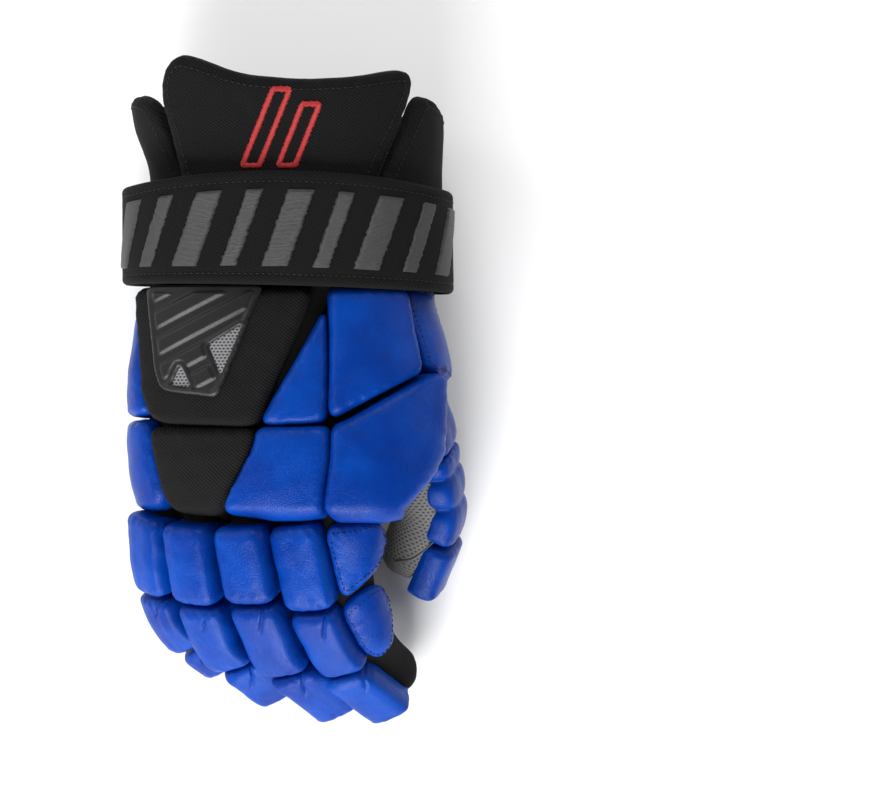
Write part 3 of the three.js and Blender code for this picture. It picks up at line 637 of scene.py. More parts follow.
class Sock:
    """A shader socket that can be reckoned with: its operators add Math nodes."""

    def __init__(self, tree: Tree, socket: bpy.types.NodeSocket) -> None:
        """Hold a socket of a tree."""
        self.tree, self.socket = tree, socket

    def math(self, operation: str, *others: Sock | float) -> Sock:
        """The result of a Math node on this socket and others."""
        node = self.tree.add("ShaderNodeMath", {"operation": operation}, dict(enumerate((self, *others))))
        return Sock(self.tree, node.outputs[0])

    def __add__(self, other: Sock | float) -> Sock:
        """Sum."""
        return self.math("ADD", other)

    def __sub__(self, other: Sock | float) -> Sock:
        """Difference."""
        return self.math("SUBTRACT", other)

    def __mul__(self, other: Sock | float) -> Sock:
        """Product."""
        return self.math("MULTIPLY", other)

    def __truediv__(self, other: Sock | float) -> Sock:
        """Quotient."""
        return self.math("DIVIDE", other)

    def __lt__(self, other: Sock | float) -> Sock:
        """1 where less, else 0."""
        return self.math("LESS_THAN", other)

    def __gt__(self, other: Sock | float) -> Sock:
        """1 where greater, else 0."""
        return self.math("GREATER_THAN", other)

    def wave(self) -> Sock:
        """A wave from 0 to 1 with a period of 1."""
        return (self * (2 * math.pi)).math("SINE") * 0.5 + 0.5

    def span(self, low: float, high: float) -> Sock:
        """0 below low and 1 above high, smooth between."""
        settings = {"interpolation_type": "SMOOTHSTEP"}
        node = self.tree.add("ShaderNodeMapRange", settings, {"Value": self, "From Min": low, "From Max": high})
        return Sock(self.tree, node.outputs[0])


class Tree:
    """The nodes of one material."""

    def __init__(self, name: str) -> None:
        """Start a material with a Principled shader."""
        self.material = bpy.data.materials.new(name)
        self.material.use_nodes = True
        self.nodes, self.links = self.material.node_tree.nodes, self.material.node_tree.links
        self.shader = self.nodes["Principled BSDF"]

    def add(self, kind: str, settings: dict[str, object], values: dict[str | int, object]) -> bpy.types.Node:
        """Add a node.

        Args:
            kind: Type of the node.
            settings: Its properties, set first.
            values: Values or sockets for its inputs, by name or number.

        Returns:
            The node.
        """
        node = self.nodes.new(kind)
        for key, value in settings.items():
            setattr(node, key, value)
        for key, value in values.items():
            if isinstance(value, Sock):
                self.links.new(value.socket, node.inputs[key])
            else:
                node.inputs[key].default_value = value
        return node

    def flat(self) -> tuple[Sock, Sock]:
        """The two places on the flat map, in mm."""
        node = self.add("ShaderNodeUVMap", {"uv_map": "flat"}, {})
        split = self.add("ShaderNodeSeparateXYZ", {}, {0: Sock(self, node.outputs[0])})
        return Sock(self, split.outputs[0]), Sock(self, split.outputs[1])

    def staggered(self, wide: float, long: float) -> tuple[Sock, Sock]:
        """Distances across and along from the middles of cells in staggered rows, in cells."""
        s, v = self.flat()
        row = (v / long).math("FLOOR")
        return (s / wide + row * 0.5).math("FRACT") - 0.5, (v / long).math("FRACT") - 0.5

    def noise(self, scale: float, detail: float = 3.0) -> Sock:
        """Noise in space.

        Args:
            scale: Number of waves in a metre.
            detail: Octaves.

        Returns:
            A value from 0 to 1.
        """
        place = self.add("ShaderNodeTexCoord", {}, {})
        values = {"Vector": Sock(self, place.outputs["Object"]), "Scale": scale, "Detail": detail}
        return Sock(self, self.add("ShaderNodeTexNoise", {}, values).outputs[0])

    def cells(self, scale: float) -> Sock:
        """Distance from the middles of random cells, in cells."""
        place = self.add("ShaderNodeTexCoord", {}, {})
        values = {"Vector": Sock(self, place.outputs["Object"]), "Scale": scale}
        return Sock(self, self.add("ShaderNodeTexVoronoi", {}, values).outputs[0])

    def mix(self, share: Sock, first: Sequence[float], second: Sequence[float]) -> Sock:
        """A colour between two by share."""
        values = {0: share, 6: (*first, 1.0), 7: (*second, 1.0)}
        return Sock(self, self.add("ShaderNodeMix", {"data_type": "RGBA"}, values).outputs[2])

    def bump(self, height: Sock, depth: float) -> None:
        """Give the shader a relief, with depth in mm."""
        node = self.add("ShaderNodeBump", {}, {"Height": height, "Distance": depth * MM, "Strength": 1.0})
        self.links.new(node.outputs[0], self.shader.inputs["Normal"])

    def finish(self, **values: object) -> bpy.types.Material:
        """Set the shader's inputs, with _ for the spaces in their names, and return the material."""
        for key, value in values.items():
            socket = self.shader.inputs[key.replace("_", " ")]
            if isinstance(value, Sock):
                self.links.new(value.socket, socket)
            else:
                socket.default_value = value
        return self.material


class Looks(dict):
    """Every material by name."""

    def __init__(self) -> None:
        """Build them."""
        super().__init__()
        self["blue_shell"], self["badge_rubber"] = self.leather(), self.rubber()
        self["silver_mesh"], self["hook"] = self.mesh(), self.hook()
        for name, pitch, dark, light in (
            ("black_cloth", 1.6, (0.0008, 0.0008, 0.001), (0.0115, 0.0115, 0.012)),
            ("knit_lining", 1.0, (0.003, 0.003, 0.003), (0.010, 0.010, 0.0105)),
            ("woven_label", 0.8, (0.004, 0.004, 0.004), (0.014, 0.014, 0.014)),
        ):
            self[name] = self.cloth(name, pitch, dark, light)
        self["palm_leather"] = self.perforated("palm_leather", 2.0, 1.7, 1.0, 0.055)
        self["palm_patch"] = self.perforated("palm_patch", 2.5, 2.0, 1.45, 0.035)
        self["palm_strip"] = self.suede("palm_strip", (0.13, 0.13, 0.132))
        for name, dark, light in (
            ("grey_thread", (0.014, 0.014, 0.015), (0.058, 0.058, 0.060)),
            ("red_thread", (0.20, 0.008, 0.010), (0.58, 0.036, 0.038)),
            ("stitch", (0.32, 0.32, 0.33), (0.5, 0.5, 0.5)),
            ("navy_stitch", (0.0003, 0.004, 0.05), (0.0008, 0.009, 0.10)),
            ("dark_stitch", (0.001, 0.001, 0.001), (0.005, 0.005, 0.005)),
            ("orange_thread", (0.5, 0.12, 0.01), (0.75, 0.22, 0.03)),
        ):
            self[name] = self.thread(name, dark, light)

    @staticmethod
    def leather() -> bpy.types.Material:
        """Blue coated leather with a fine grain."""
        tree = Tree("blue_shell")
        tone = tree.noise(38, 3).span(0.3, 0.75)
        grain = tree.cells(1500).span(0.0, 0.65)
        creases = tree.noise(520, 4)
        tree.bump(grain * 0.7 + creases * 0.35, 0.14)
        return tree.finish(
            Base_Color=tree.mix(tone, (0.0001, 0.025, 0.205), (0.0002, 0.044, 0.300)),
            Roughness=creases * 0.06 + 0.29,
            Specular_IOR_Level=0.11,
        )

    @staticmethod
    def cloth(name: str, pitch: float, dark: Sequence[float], light: Sequence[float]) -> bpy.types.Material:
        """Black twill.

        Args:
            name: Name of the material.
            pitch: Distance between its ribs in mm.
            dark: Colour in the grooves.
            light: Colour on the ribs.

        Returns:
            The material.
        """
        tree = Tree(name)
        s, v = tree.flat()
        ribs = ((s * 0.8 + v) / pitch).wave()
        yarns = ((s - v * 0.35) / (pitch * 0.8)).wave()
        weave = ribs * 0.7 + yarns * 0.3
        fuzz = tree.noise(900, 2)
        tree.bump(weave + fuzz * 0.5, 0.22)
        return tree.finish(
            Base_Color=tree.mix(weave * 0.75 + fuzz * 0.3, dark, light),
            Roughness=0.8,
            Specular_IOR_Level=0.08,
            Sheen_Weight=0.01,
        )

    @staticmethod
    def perforated(name: str, wide: float, long: float, flat: float, deep: float) -> bpy.types.Material:
        """Grey palm leather with rows of fine dimples.

        Args:
            name: Name of the material.
            wide: Distance between the dimples of a row in mm.
            long: Distance between the rows in mm.
            flat: How much wider than long a dimple is.
            deep: Grey in the dimples.

        Returns:
            The material.
        """
        tree = Tree(name)
        across, along = tree.staggered(wide, long)
        along = along * flat
        hole = (across * across + along * along).math("SQRT").span(0.15, 0.33)
        tone = tree.noise(90, 4)
        tree.bump(hole + tree.noise(1500, 3) * 0.3, 0.3)
        shade = hole * (tone * 0.4 + 0.6)
        colour = tree.mix(shade, (deep, deep, deep), (0.185, 0.185, 0.183))
        return tree.finish(Base_Color=colour, Roughness=0.82, Specular_IOR_Level=0.2)

    @staticmethod
    def suede(name: str, colour: Sequence[float]) -> bpy.types.Material:
        """Plain grey leather."""
        tree = Tree(name)
        tone = tree.noise(120, 5).span(0.3, 0.7)
        grain = tree.noise(2400, 3)
        tree.bump(grain, 0.15)
        darker = tuple(part * 0.72 for part in colour)
        return tree.finish(Base_Color=tree.mix(tone, darker, colour), Roughness=0.85, Specular_IOR_Level=0.2)

    @staticmethod
    def rubber() -> bpy.types.Material:
        """Moulded black rubber."""
        tree = Tree("badge_rubber")
        speck = tree.noise(1800, 2)
        tree.bump(speck, 0.08)
        roughness = speck * 0.2 + 0.32
        return tree.finish(Base_Color=(0.007, 0.007, 0.0075, 1), Roughness=roughness, Specular_IOR_Level=0.3)

    @staticmethod
    def mesh() -> bpy.types.Material:
        """Silver net with six-sided holes."""
        tree = Tree("silver_mesh")
        across, along = tree.staggered(1.8, 1.5)
        cord = (across * across + along * along).math("SQRT").span(0.2, 0.36)
        tree.bump(cord, 0.5)
        colour = tree.mix(cord, (0.01, 0.01, 0.011), (0.24, 0.24, 0.25))
        return tree.finish(Base_Color=colour, Roughness=0.42, Metallic=cord * 0.5)

    @staticmethod
    def thread(name: str, dark: Sequence[float], light: Sequence[float]) -> bpy.types.Material:
        """Satin stitches, with threads across the flat map's second direction."""
        tree = Tree(name)
        _, v = tree.flat()
        wander = tree.noise(260, 3)
        strand = ((v + wander * 1.2) / 0.62).wave()
        break_up = tree.noise(700, 3)
        tree.bump(strand * 0.7 + break_up * 0.6, 0.28)
        return tree.finish(
            Base_Color=tree.mix(strand * 0.55 + break_up * 0.5, dark, light),
            Roughness=0.5,
            Specular_IOR_Level=0.3,
        )

    @staticmethod
    def hook() -> bpy.types.Material:
        """Black hook-and-loop tape."""
        tree = Tree("hook")
        s, v = tree.flat()
        hooks = (s / 0.9).wave() * (v / 0.9).wave()
        tree.bump(hooks + tree.noise(1500, 2), 0.5)
        colour = tree.mix(hooks, (0.008, 0.008, 0.008), (0.03, 0.03, 0.032))
        return tree.finish(Base_Color=colour, Roughness=0.9)


def outline_of(
    corners: Sequence[Sequence[float]], radius: float, count: int, grow: float = 0.0, lift: float = 5.5
) -> Array:
    """An outline on the hand from corners in plan.

    Args:
        corners: Plan distance x, place y and, past the side, how much further round.
        radius: Rounding of the corners.
        count: Number of points.
        grow: Distance by which it is made larger.
        lift: Height above the hand at which the corners are seen there.

    Returns:
        Distances round and places along the hand.
    """
    rows = np.array([(*corner, 0.0)[:3] for corner in corners], float)
    spots = np.column_stack([HAND_LIMB.across(rows[:, 0], rows[:, 1], lift) + rows[:, 2], rows[:, 1]])
    return swell(rounded(spots, radius, count), grow)


@dataclass(frozen=True)
class Panel:
    """A foam panel on the back of the hand."""

    name: str
    high: float
    corners: Sequence[Sequence[float]]
    slot: Slot = Slot.BLUE
    taper: tuple[float, float, float] = (1.0, 0.0, 1.0)


PANELS = (
    Panel(
        "wrist_guard", 12.5,
        [(-71, 49), (-69, 0), (-66, -12), (-60, -15), (-18, -16.5), (-12, 0), (5, 38), (8.5, 49)],
        Slot.CLOTH,
    ),
    Panel(
        "knuckle_guard", 11.5,
        [(-66, -18), (-18.5, -18.5), (-19, -25), (-33, -57), (-41, -60), (-54, -58), (-59, -52), (-64, -33)],
        Slot.CLOTH,
    ),
    Panel("back_panel_point", 11, [(15, 38), (15.3, -14.5), (-12, -16), (-14, -13)]),
    Panel("back_panel_upper", 12, [(17.5, 49), (52.5, 49), (60, 9), (54, 6), (20, -12), (17.5, -9)]),
    Panel(
        "back_panel_middle", 12,
        [(-16.5, -18), (16.8, -17.5), (16, -58.5), (9, -61.5), (-8, -61.5), (-29, -59), (-31, -55), (-17, -25)],
    ),
    Panel(
        "back_panel_thumb", 12,
        [(19, -17), (26, -14.5), (61, 6), (69.5, 9), (72, -30), (66, -42), (50, -62), (19, -62)],
    ),
    Panel(
        "side_panel_thumb", 9,
        [(55, 49), (55, 49, 30), (68, 2, 22), (70, 8, 2), (62, 10, 1)],
        taper=(0.35, 50, 6),
    ),
    Panel(
        "side_panel_upper", 10.5,
        [(-73, 47, 1.5), (-70.5, 0, 0), (-68, -10, 0), (-71, -12, -4), (-71, -12, -46), (-73, 47, -46)],
        taper=(0.5, 50, 0),
    ),
    Panel(
        "side_panel_lower", 10.5,
        [(-68, -15), (-65, -33), (-60, -52), (-61, -58, -4), (-61, -58, -24), (-66, -40, -32), (-68, -15, -40)],
    ),
)
CUFF = (
    Panel(
        "cuff_back", 8,
        [(-51.5, 52), (-52.5, 100), (-63, 141), (-62, 152), (-56, 160), (-48, 159), (-25, 150), (4, 147.5)]
        + [(30, 149), (49, 153), (56, 152), (57, 143), (50.5, 126), (42.5, 109), (37.5, 96), (36, 52)],
        Slot.CLOTH,
    ),
    Panel(
        "cuff_side_little", 8,
        [(-54, 52), (-55, 100), (-64.5, 137), (-72, 142.5, -4), (-76, 138, -30), (-76, 134, -54), (-76, 52, -54)],
        Slot.CLOTH, taper=(0.12, 100, 136),
    ),
    Panel(
        "cuff_side_thumb", 8,
        [(38.5, 52), (40, 97), (45, 109), (53, 126), (59.5, 141), (66, 140.5), (76, 134, -2), (76, 134, 50)]
        + [(76, 52, 50)],
        Slot.CLOTH,
    ),
)
INDEX_SIDES = (
    Panel("index_side_base", 5, [(14.5, 32), (37, 33), (41, 45), (34, 55), (28, 58.5), (14.5, 64.5)]),
    Panel("index_side_middle", 5, [(12, 69), (25, 64.5), (32, 67.5), (33, 80), (27, 93), (20, 103), (12, 103)]),
)


@dataclass
class Padding:
    """The foam panels, the cuff's lobes and the index finger's side panels."""

    looks: Looks
    points: int = 132
    grow: float = 0.9
    pads: dict[str, Pillow] = field(default_factory=dict)

    def build(self) -> list[str]:
        """Make every pad and return their names."""
        for k, panel in enumerate(PANELS):
            outline = outline_of(panel.corners, 5.0, self.points, self.grow)
            self.make(panel, 0.85, limb=HAND_LIMB, outline=outline, edge=4.8, shape=2.4, seed=SEED + 3 * k)
        cuff = {"limb": HAND_LIMB, "base": GAP, "dome": 0.5, "fuss": 1.2}
        for k, panel in enumerate(CUFF):
            outline = outline_of(panel.corners, 9, 2 * self.points)
            self.make(panel, 0.7, outline=outline, seed=SEED + 40 + k, **cuff)
        for k, panel in enumerate(INDEX_SIDES):
            outline = swell(rounded(np.array(panel.corners, float), 5, self.points), self.grow)
            self.make(panel, 0.8, limb=INDEX, outline=outline, edge=4.5, dome=0.8, seed=SEED + 60 + k)
        return list(self.pads)

    def make(self, panel: Panel, fill: float, **sizes: object) -> None:
        """Build one pad in place of its CAD solid, from the sizes of its pillow."""
        pad = self.pads[panel.name] = Pillow(high=panel.high, taper=panel.taper, **sizes)
        piece = pad.shape_of().build(panel.name + "_pad", self.looks, panel.slot)
        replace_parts(piece, panel.name)


# Half of a finger roll's cross-section: height above the finger's middle line and distance out
ROLL_SECTION = np.array([(24.3, 0), (24.1, 6.4), (22.4, 11.5), (17.6, 13.6), (10, 13.2), (1.5, 12.1)], float)
ROLL_FITS = 11.7  # half width of the finger that this section fits
ROLL_GAP = 0.7
ROLL_CORE = 12.0  # height of the point that a roll's ends shrink towards
ROLL_EDGE = 4.4  # length over which its ends are rounded
ROLL_SLANT = (0.0, 7.5, 13.0)  # slant of the crease at each roll's start
THUMB_WIDE = 1.06  # scale of the width of the thumb's rolls
THUMB_LOWER = (5.0, 5.0, 2.4)  # how much lower than a finger's they sit
THUMB_FOLDS = ((), (80.5, 96.0), ())  # places along the thumb where their cover is folded in


@dataclass
class Rolls:
    """The foam rolls along the fingers and the thumb."""

    looks: Looks
    rows: int = 64
    columns: int = 140

    def build(self) -> list[str]:
        """Make three rolls on each finger and on the thumb."""
        names = []
        for finger in FINGERS:
            _, knuckle, bend, end, tip = finger.joints
            ends = (knuckle + 4, bend + 1 + finger.late, end + 1 + finger.late, tip + finger.past)
            for k, span in enumerate(zip(ends, ends[1:])):
                names.append(self.make(finger, k, span, finger.wide / ROLL_FITS, finger.lower))
        _, knuckle, bend, tip = THUMB.joints
        ends = (knuckle - 22, knuckle + 12, bend + 10, tip + 5)
        for k, span in enumerate(zip(ends, ends[1:])):
            names.append(self.make(THUMB, k, span, THUMB_WIDE, THUMB_LOWER[k], 0.75, THUMB_FOLDS[k]))
        return names

    def make(
        self,
        limb: Finger,
        k: int,
        span: tuple[float, float],
        wide: float,
        lower: float,
        trim: float = 0.0,
        folds: Sequence[float] = (),
    ) -> str:
        """Make one roll.

        Args:
            limb: Finger that it sits on.
            k: Its number along the finger, from 0.
            span: Where it starts and ends along the finger.
            wide: Scale of its width.
            lower: How much lower than usual it sits.
            trim: Share of the way up its sides that their lower edge is raised.
            folds: Places along the finger where its cover is folded in.

        Returns:
            The name of the CAD node that it stands for.
        """
        start, stop = span[0] + ROLL_GAP, span[1] - ROLL_GAP
        half = spread(self.smooth(ROLL_SECTION), self.columns // 2)
        section = np.vstack([half, (half[1:] * [1, -1])[::-1]])
        v = start + (stop - start) * (0.5 - 0.5 * np.cos(np.linspace(0, math.pi, self.rows)))
        d = np.minimum(v - start, stop - v)
        share = 0.66 + 0.35 * rounding(d, ROLL_EDGE, 2.2) + 0.012 * np.clip(d / 12, 0, 1)
        for fold in folds:
            share = share - 0.24 * np.exp(-np.abs((v - fold) / 2.2) ** 1.1)
        frame = limb.section(v)
        high = section[:, 0] + np.maximum(ROLL_CORE - section[:, 0], 0) * trim
        up = ROLL_CORE + (high[None] - lower - ROLL_CORE) * share[:, None]
        out = section[None, :, 1] * wide * share[:, None]
        out = np.where(out > 0, out * limb.right[k], out) + limb.aside[k]
        across, upward = frame.across[:, None], frame.upward[:, None]
        points = frame.middle[:, None] + across * out[..., None] + upward * up[..., None]
        flat = pairs(out, v[:, None])
        outward = unit(points - (frame.middle + frame.upward * ROLL_CORE)[:, None])
        spots = points.reshape(-1, 3)
        seed = SEED + 100 + 10 * k + len(limb.name)
        near = np.repeat(np.exp(-((d - 2.0) ** 2) / 9), len(section))
        wrinkles = 0.18 * ripple(spots, 13, seed) + (0.04 + 0.18 * near) * ripple(spots, 5.0, seed + 1)
        if k and limb is not THUMB:
            far = np.broadcast_to((v - start)[:, None], out.shape).ravel()
            wrinkles -= self.crease(out.ravel(), far, up.ravel(), ROLL_SLANT[k])
        points = points + outward * wrinkles.reshape(out.shape)[..., None]
        name = f"{limb.name}_roll_{k + 1}"
        piece = Shape().grid(points, flat, wrap=True, caps=True).build(name + "_pad", self.looks, Slot.BLUE)
        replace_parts(piece, name)
        return name

    @staticmethod
    def crease(out: Array, far: Array, up: Array, slant: float) -> Array:
        """Depth of the slanting fold where a roll's cover is tucked under the roll before it.

        Args:
            out: Distance out from the middle of the roll, towards the thumb.
            far: Distance along the finger from the roll's start.
            up: Height above the finger's middle line.
            slant: How far the fold runs towards the little finger, in mm.

        Returns:
            The depth at each point, in mm.
        """
        along = np.clip(far / 11.0, 0, 1)
        aside = (out - 8.0 + slant * along) / (0.5 + 0.5 * along)
        return 1.9 * np.exp(-(np.abs(aside) ** 1.3)) * smoothstep(far, 11.0, 6.0) * (up > ROLL_CORE)

    @staticmethod
    def smooth(points: Array) -> Array:
        """A smooth curve through points."""
        t = np.arange(len(points), dtype=float)
        table = {"y": tuple(t), "a": tuple(points[:, 0]), "b": tuple(points[:, 1])}
        fine = np.linspace(0, len(points) - 1, 80)
        return np.column_stack([through(table, "a", fine), through(table, "b", fine)])


# Rings over a round tip, as shares of its depth
LINING_TIP = (0.25, 0.5, 0.7, 0.85, 0.95, 0.99, 0.99999)
LEATHER_TIP = (0.12, 0.26, 0.4, 0.54, 0.66, 0.76, 0.85, 0.92, 0.97, 1.0)
ROUND = 13.0  # radius by which angles round a finger become distances on the flat map


@dataclass
class Lining:
    """The knitted bag inside: the hand, four fingers and the thumb, open at the wrist."""

    looks: Looks
    thick: float = 2.8
    sides: int = 96

    def build(self) -> list[str]:
        """Make the six parts of the lining."""
        self.make_hand()
        for finger in (*FINGERS, THUMB):
            self.make_finger(finger, 20.0 if finger is THUMB else 14.0)
        return ["hand_lining", *(f"{finger.name}_lining" for finger in (*FINGERS, THUMB))]

    def ring(self, limb: Limb, v: float, grow: float) -> Array:
        """A ring of points round a limb."""
        return limb.turn(np.full(self.sides, float(v)), turns(self.sides), grow)

    def make_hand(self) -> None:
        """The hand's part: its outside runs over the hem at the wrist and back along the inside."""
        places = [(-61.5, -6), (-61.5, -2.4), (-61.5, -0.8), *((y, 0) for y in np.linspace(-60, 61.4, 34))]
        places += [(62.3, -0.6), (62.3, -1.6), *((y, -self.thick) for y in np.linspace(61.4, -58, 30))]
        rings = np.array([self.ring(HAND_LIMB, y, grow) for y, grow in places])
        shape = Shape().grid(rings, self.map_of(rings), wrap=True)
        piece = shape.build("hand_lining_knit", self.looks, Slot.KNIT)
        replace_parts(piece, "hand_lining_back", "hand_lining_palm")

    def make_finger(self, limb: Finger, start: float) -> None:
        """A finger's part, a tube with a round tip."""
        rings = []
        for grow, order in ((-self.thick, -1), (0.0, 1)):
            blunt, reach = limb.high + grow, limb.length + grow + limb.more
            end = reach - blunt
            tube = [self.ring(limb, v, grow) for v in np.linspace(start, end, 44)]
            ring = self.ring(limb, end, grow)
            tube += [limb.over_tip(ring, end, share, blunt) for share in LINING_TIP]
            rings += tube[::order]
        rings = np.array(rings)
        shape = Shape(least=FLOOR + 0.9)
        half = len(rings) // 2
        for part in (rings[:half], rings[half:], rings[half - 1 : half + 1]):
            shape.grid(part, self.map_of(part), wrap=True)
        piece = shape.build(f"{limb.name}_lining_knit", self.looks, Slot.KNIT)
        halves = [""] if limb is THUMB else ["_back", "_palm"]
        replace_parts(piece, *(f"{limb.name}_lining{half}" for half in halves))

    @staticmethod
    def map_of(rings: Array) -> Array:
        """The flat map of rings: distance round and along."""
        return pairs(np.linspace(0, 1, rings.shape[1]) * 300, lengths(rings.mean(1))[:, None])


def seam_x(y: Array) -> Array:
    """Plan distance of the palm's curved seam."""
    return 37 - 36 * smoothstep(y, -70, 50)


SHEET_COLUMNS = 42  # columns of points across a sewn sheet, between its rolled edges


@dataclass
class Palm:
    """The leather under the hand, fingers and thumb, the leather sewn on it and the hem at its end."""

    looks: Looks
    hole: float = 0.95
    hole_spots: Corners = (
        (-12.4, -54.0), (21.0, -55.9), (-34.7, -44.7), (-1.9, -39.7), (-31.0, -17.4), (45.3, -28.5),
        (-15.5, -8.1), (-27.9, 9.3), (-27.3, 37.2), (42.2, -9.3), (42.8, 14.2), (57.0, -14.9),
    )
    left: float = -45.0
    end: float = 57.0
    skin: float = GAP + LEATHER  # height of its outside above the lining
    columns: int = 70
    steps: int = 40

    def build(self) -> list[str]:
        """Make the palm's pieces."""
        self.make_leather()
        self.make_sheet("palm_patch", -43.5, lambda y: seam_x(y) - 2.6, (-50, 45), Slot.PATCH)
        strip = (lambda y: seam_x(y) - 2.4, lambda y: seam_x(y) + 10)
        self.make_sheet("palm_strip", *strip, (-42, 45), Slot.PATCH, 0.9, "palm_strip")
        self.make_sheet("palm_hem", -44, 46, (46, 58), Slot.CLOTH, 2.2)
        self.make_stitches()
        self.make_holes()
        self.make_welt()
        return ["palm_leather", "palm_patch", "palm_strip", "palm_hem"]

    def make_leather(self) -> None:
        """The leather itself."""
        shape = Shape()
        y = np.linspace(-61, self.end, 60)
        rows = []
        for k, place in enumerate(y):
            section = HAND_LIMB.section(np.array([place]))
            left = max(self.left, float(section.middle[0, 0] - section.left[0] + 4))
            edge = HAND_LIMB.turn(np.array([place]), np.array([math.pi / 2 + 0.16]), self.skin)[0, 0]
            height = self.falling(self.columns) if 0 < k < len(y) - 1 else 0.1
            rows.append(HAND_LIMB.below(np.linspace(edge, left, self.columns), place, height))
        shape.grid(np.array(rows), np.array(rows)[..., :2])
        for finger in FINGERS:
            self.bar(shape, finger, 14, 0.86 if finger is INDEX else 0.55, 0.8)
        self.bar(shape, THUMB, 4, 0.30, 1.0)
        piece = shape.build("palm_leather_skin", self.looks, Slot.PALM)
        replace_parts(piece, "palm_leather")

    def falling(self, count: int) -> Array:
        """Heights of a row of the leather, which falls to the lining at its ends."""
        return np.array([0.1, *[self.skin] * (count - 2), 0.1])

    def bar(self, shape: Shape, limb: Finger, first: float, start: float, reach: float) -> None:
        """The leather under a finger, from one side of it round to the other and over its tip.

        Args:
            shape: Shape that it is added to.
            limb: The finger.
            first: Where it starts along the finger.
            start: Angle at which it starts at the side, in half turns from the top.
            reach: How far it goes over the round tip, as a share.
        """
        end = limb.length - limb.high + limb.more
        inner = self.falling(self.steps)
        same = np.ones(self.steps)
        rows, flat = [], []
        for k, place in enumerate(np.linspace(first, end, 56)):
            angles = np.linspace(start * math.pi, (2 - start) * math.pi, self.steps)
            rows.append(limb.turn(same * place, angles, inner if k else 0.1))
            flat.append(np.column_stack([angles * ROUND, same * place]))
        for share in np.array(LEATHER_TIP) * reach * 0.999:
            narrow = math.sqrt(1 - (share / reach) ** 2) if reach < 1 else 1.0
            angles = math.pi + np.linspace(-1, 1, self.steps) * (1 - start) * math.pi * narrow
            ring = limb.turn(same * end, angles, inner)
            rows.append(limb.over_tip(ring, end, share, (limb.high + inner)[:, None]))
            around = angles * ROUND * math.sqrt(1 - share**2)
            flat.append(np.column_stack([around, same * (end + share * limb.high)]))
        shape.grid(np.array(rows), np.array(flat))

    def make_sheet(
        self,
        name: str,
        left: float | Callable[[Array], Array],
        right: float | Callable[[Array], Array],
        span: tuple[float, float],
        slot: Slot,
        thick: float = 1.0,
        finish: str | None = None,
    ) -> None:
        """A sheet sewn on the palm.

        Args:
            name: CAD node that it stands for.
            left: Its left edge in plan, or a function of y.
            right: Its right edge in plan, or a function of y.
            span: Where it starts and ends along the hand.
            slot: Its material slot.
            thick: Its thickness.
            finish: Its own material, instead of the slot's.
        """
        y = np.linspace(*span, 44)
        lift = self.skin + GAP
        left, right = (edge(y) if callable(edge) else np.full(len(y), float(edge)) for edge in (left, right))
        section = HAND_LIMB.section(y)
        right = np.minimum(right, section.middle[:, 0] + section.right * section.across[:, 0] - 2)
        t = np.array([0, 0.004, 0.012, *np.linspace(0.03, 0.97, SHEET_COLUMNS), 0.988, 0.996, 1])
        rise = np.array([-0.9, 0.55, 0.93, *[1.0] * SHEET_COLUMNS, 0.93, 0.55, -0.9])
        rows = []
        for k, place in enumerate(y):
            soft = 0.3 if k in (0, len(y) - 1) else 1.0
            x = right[k] + (left[k] - right[k]) * t
            rows.append(HAND_LIMB.below(x, place, lift + thick * np.minimum(rise, soft)))
        first, last = rows[0] + [0, 0, 1.4], rows[-1] + [0, 0, 1.4]
        rows = np.array([first, *rows, last])
        piece = Shape().grid(rows, rows[..., :2]).build(name + "_skin", self.looks, slot, finish)
        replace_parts(piece, name)

    def make_welt(self) -> None:
        """The raised seam that runs slanting over the thumb's leather."""
        v = self.smooth_line((128.0, 122.7, 116.7, 111.8, 109.5))
        angle = self.smooth_line((-0.56, -0.444, -0.367, -0.31, -0.285)) * math.pi
        section = ((1.1, -0.4), (0.65, 0.25), (0.25, 0.7), (-0.25, 0.7), (-0.65, 0.25), (-1.1, -0.4))
        points = np.array([THUMB.turn(v + aside, angle, self.skin + lift) for aside, lift in section])
        shape = Shape().grid(points, pairs(np.arange(float(len(section)))[:, None], v))
        shape.build("thumb_welt", self.looks, Slot.PALM, "palm_strip")

    @staticmethod
    def smooth_line(values: Sequence[float]) -> Array:
        """Values spread evenly over 40 steps."""
        return np.interp(np.linspace(0, len(values) - 1, 40), np.arange(len(values)), values)

    def make_holes(self) -> None:
        """The air holes punched in the palm and the fingers."""
        shape = Shape()
        turn = turns(12)
        flat = pairs(turn, np.arange(2.0)[:, None])
        for x, y in self.hole_spots:
            edge = float(seam_x(np.array([y]))[0])
            sewn = -50 < y < 45 and x < edge + 10
            lift = self.skin + (GAP + 1.0 if sewn else 0.0)
            ring = (x + self.hole * np.cos(turn), y + self.hole * np.sin(turn))
            points = [HAND_LIMB.below(*ring, lift + by) for by in (-0.6, 0.06)]
            shape.grid(np.array(points), flat, wrap=True, caps=True)
        for finger in FINGERS:
            for share in (0.36, 0.62):
                v = finger.length * share + self.hole * np.sin(turn)
                angles = math.pi + self.hole * np.cos(turn) / finger.high
                points = [finger.turn(v, angles, self.skin + by) for by in (-0.5, 0.06)]
                shape.grid(np.array(points), flat, wrap=True, caps=True)
        shape.build("palm_holes", self.looks, Slot.PATCH, "knit_lining")

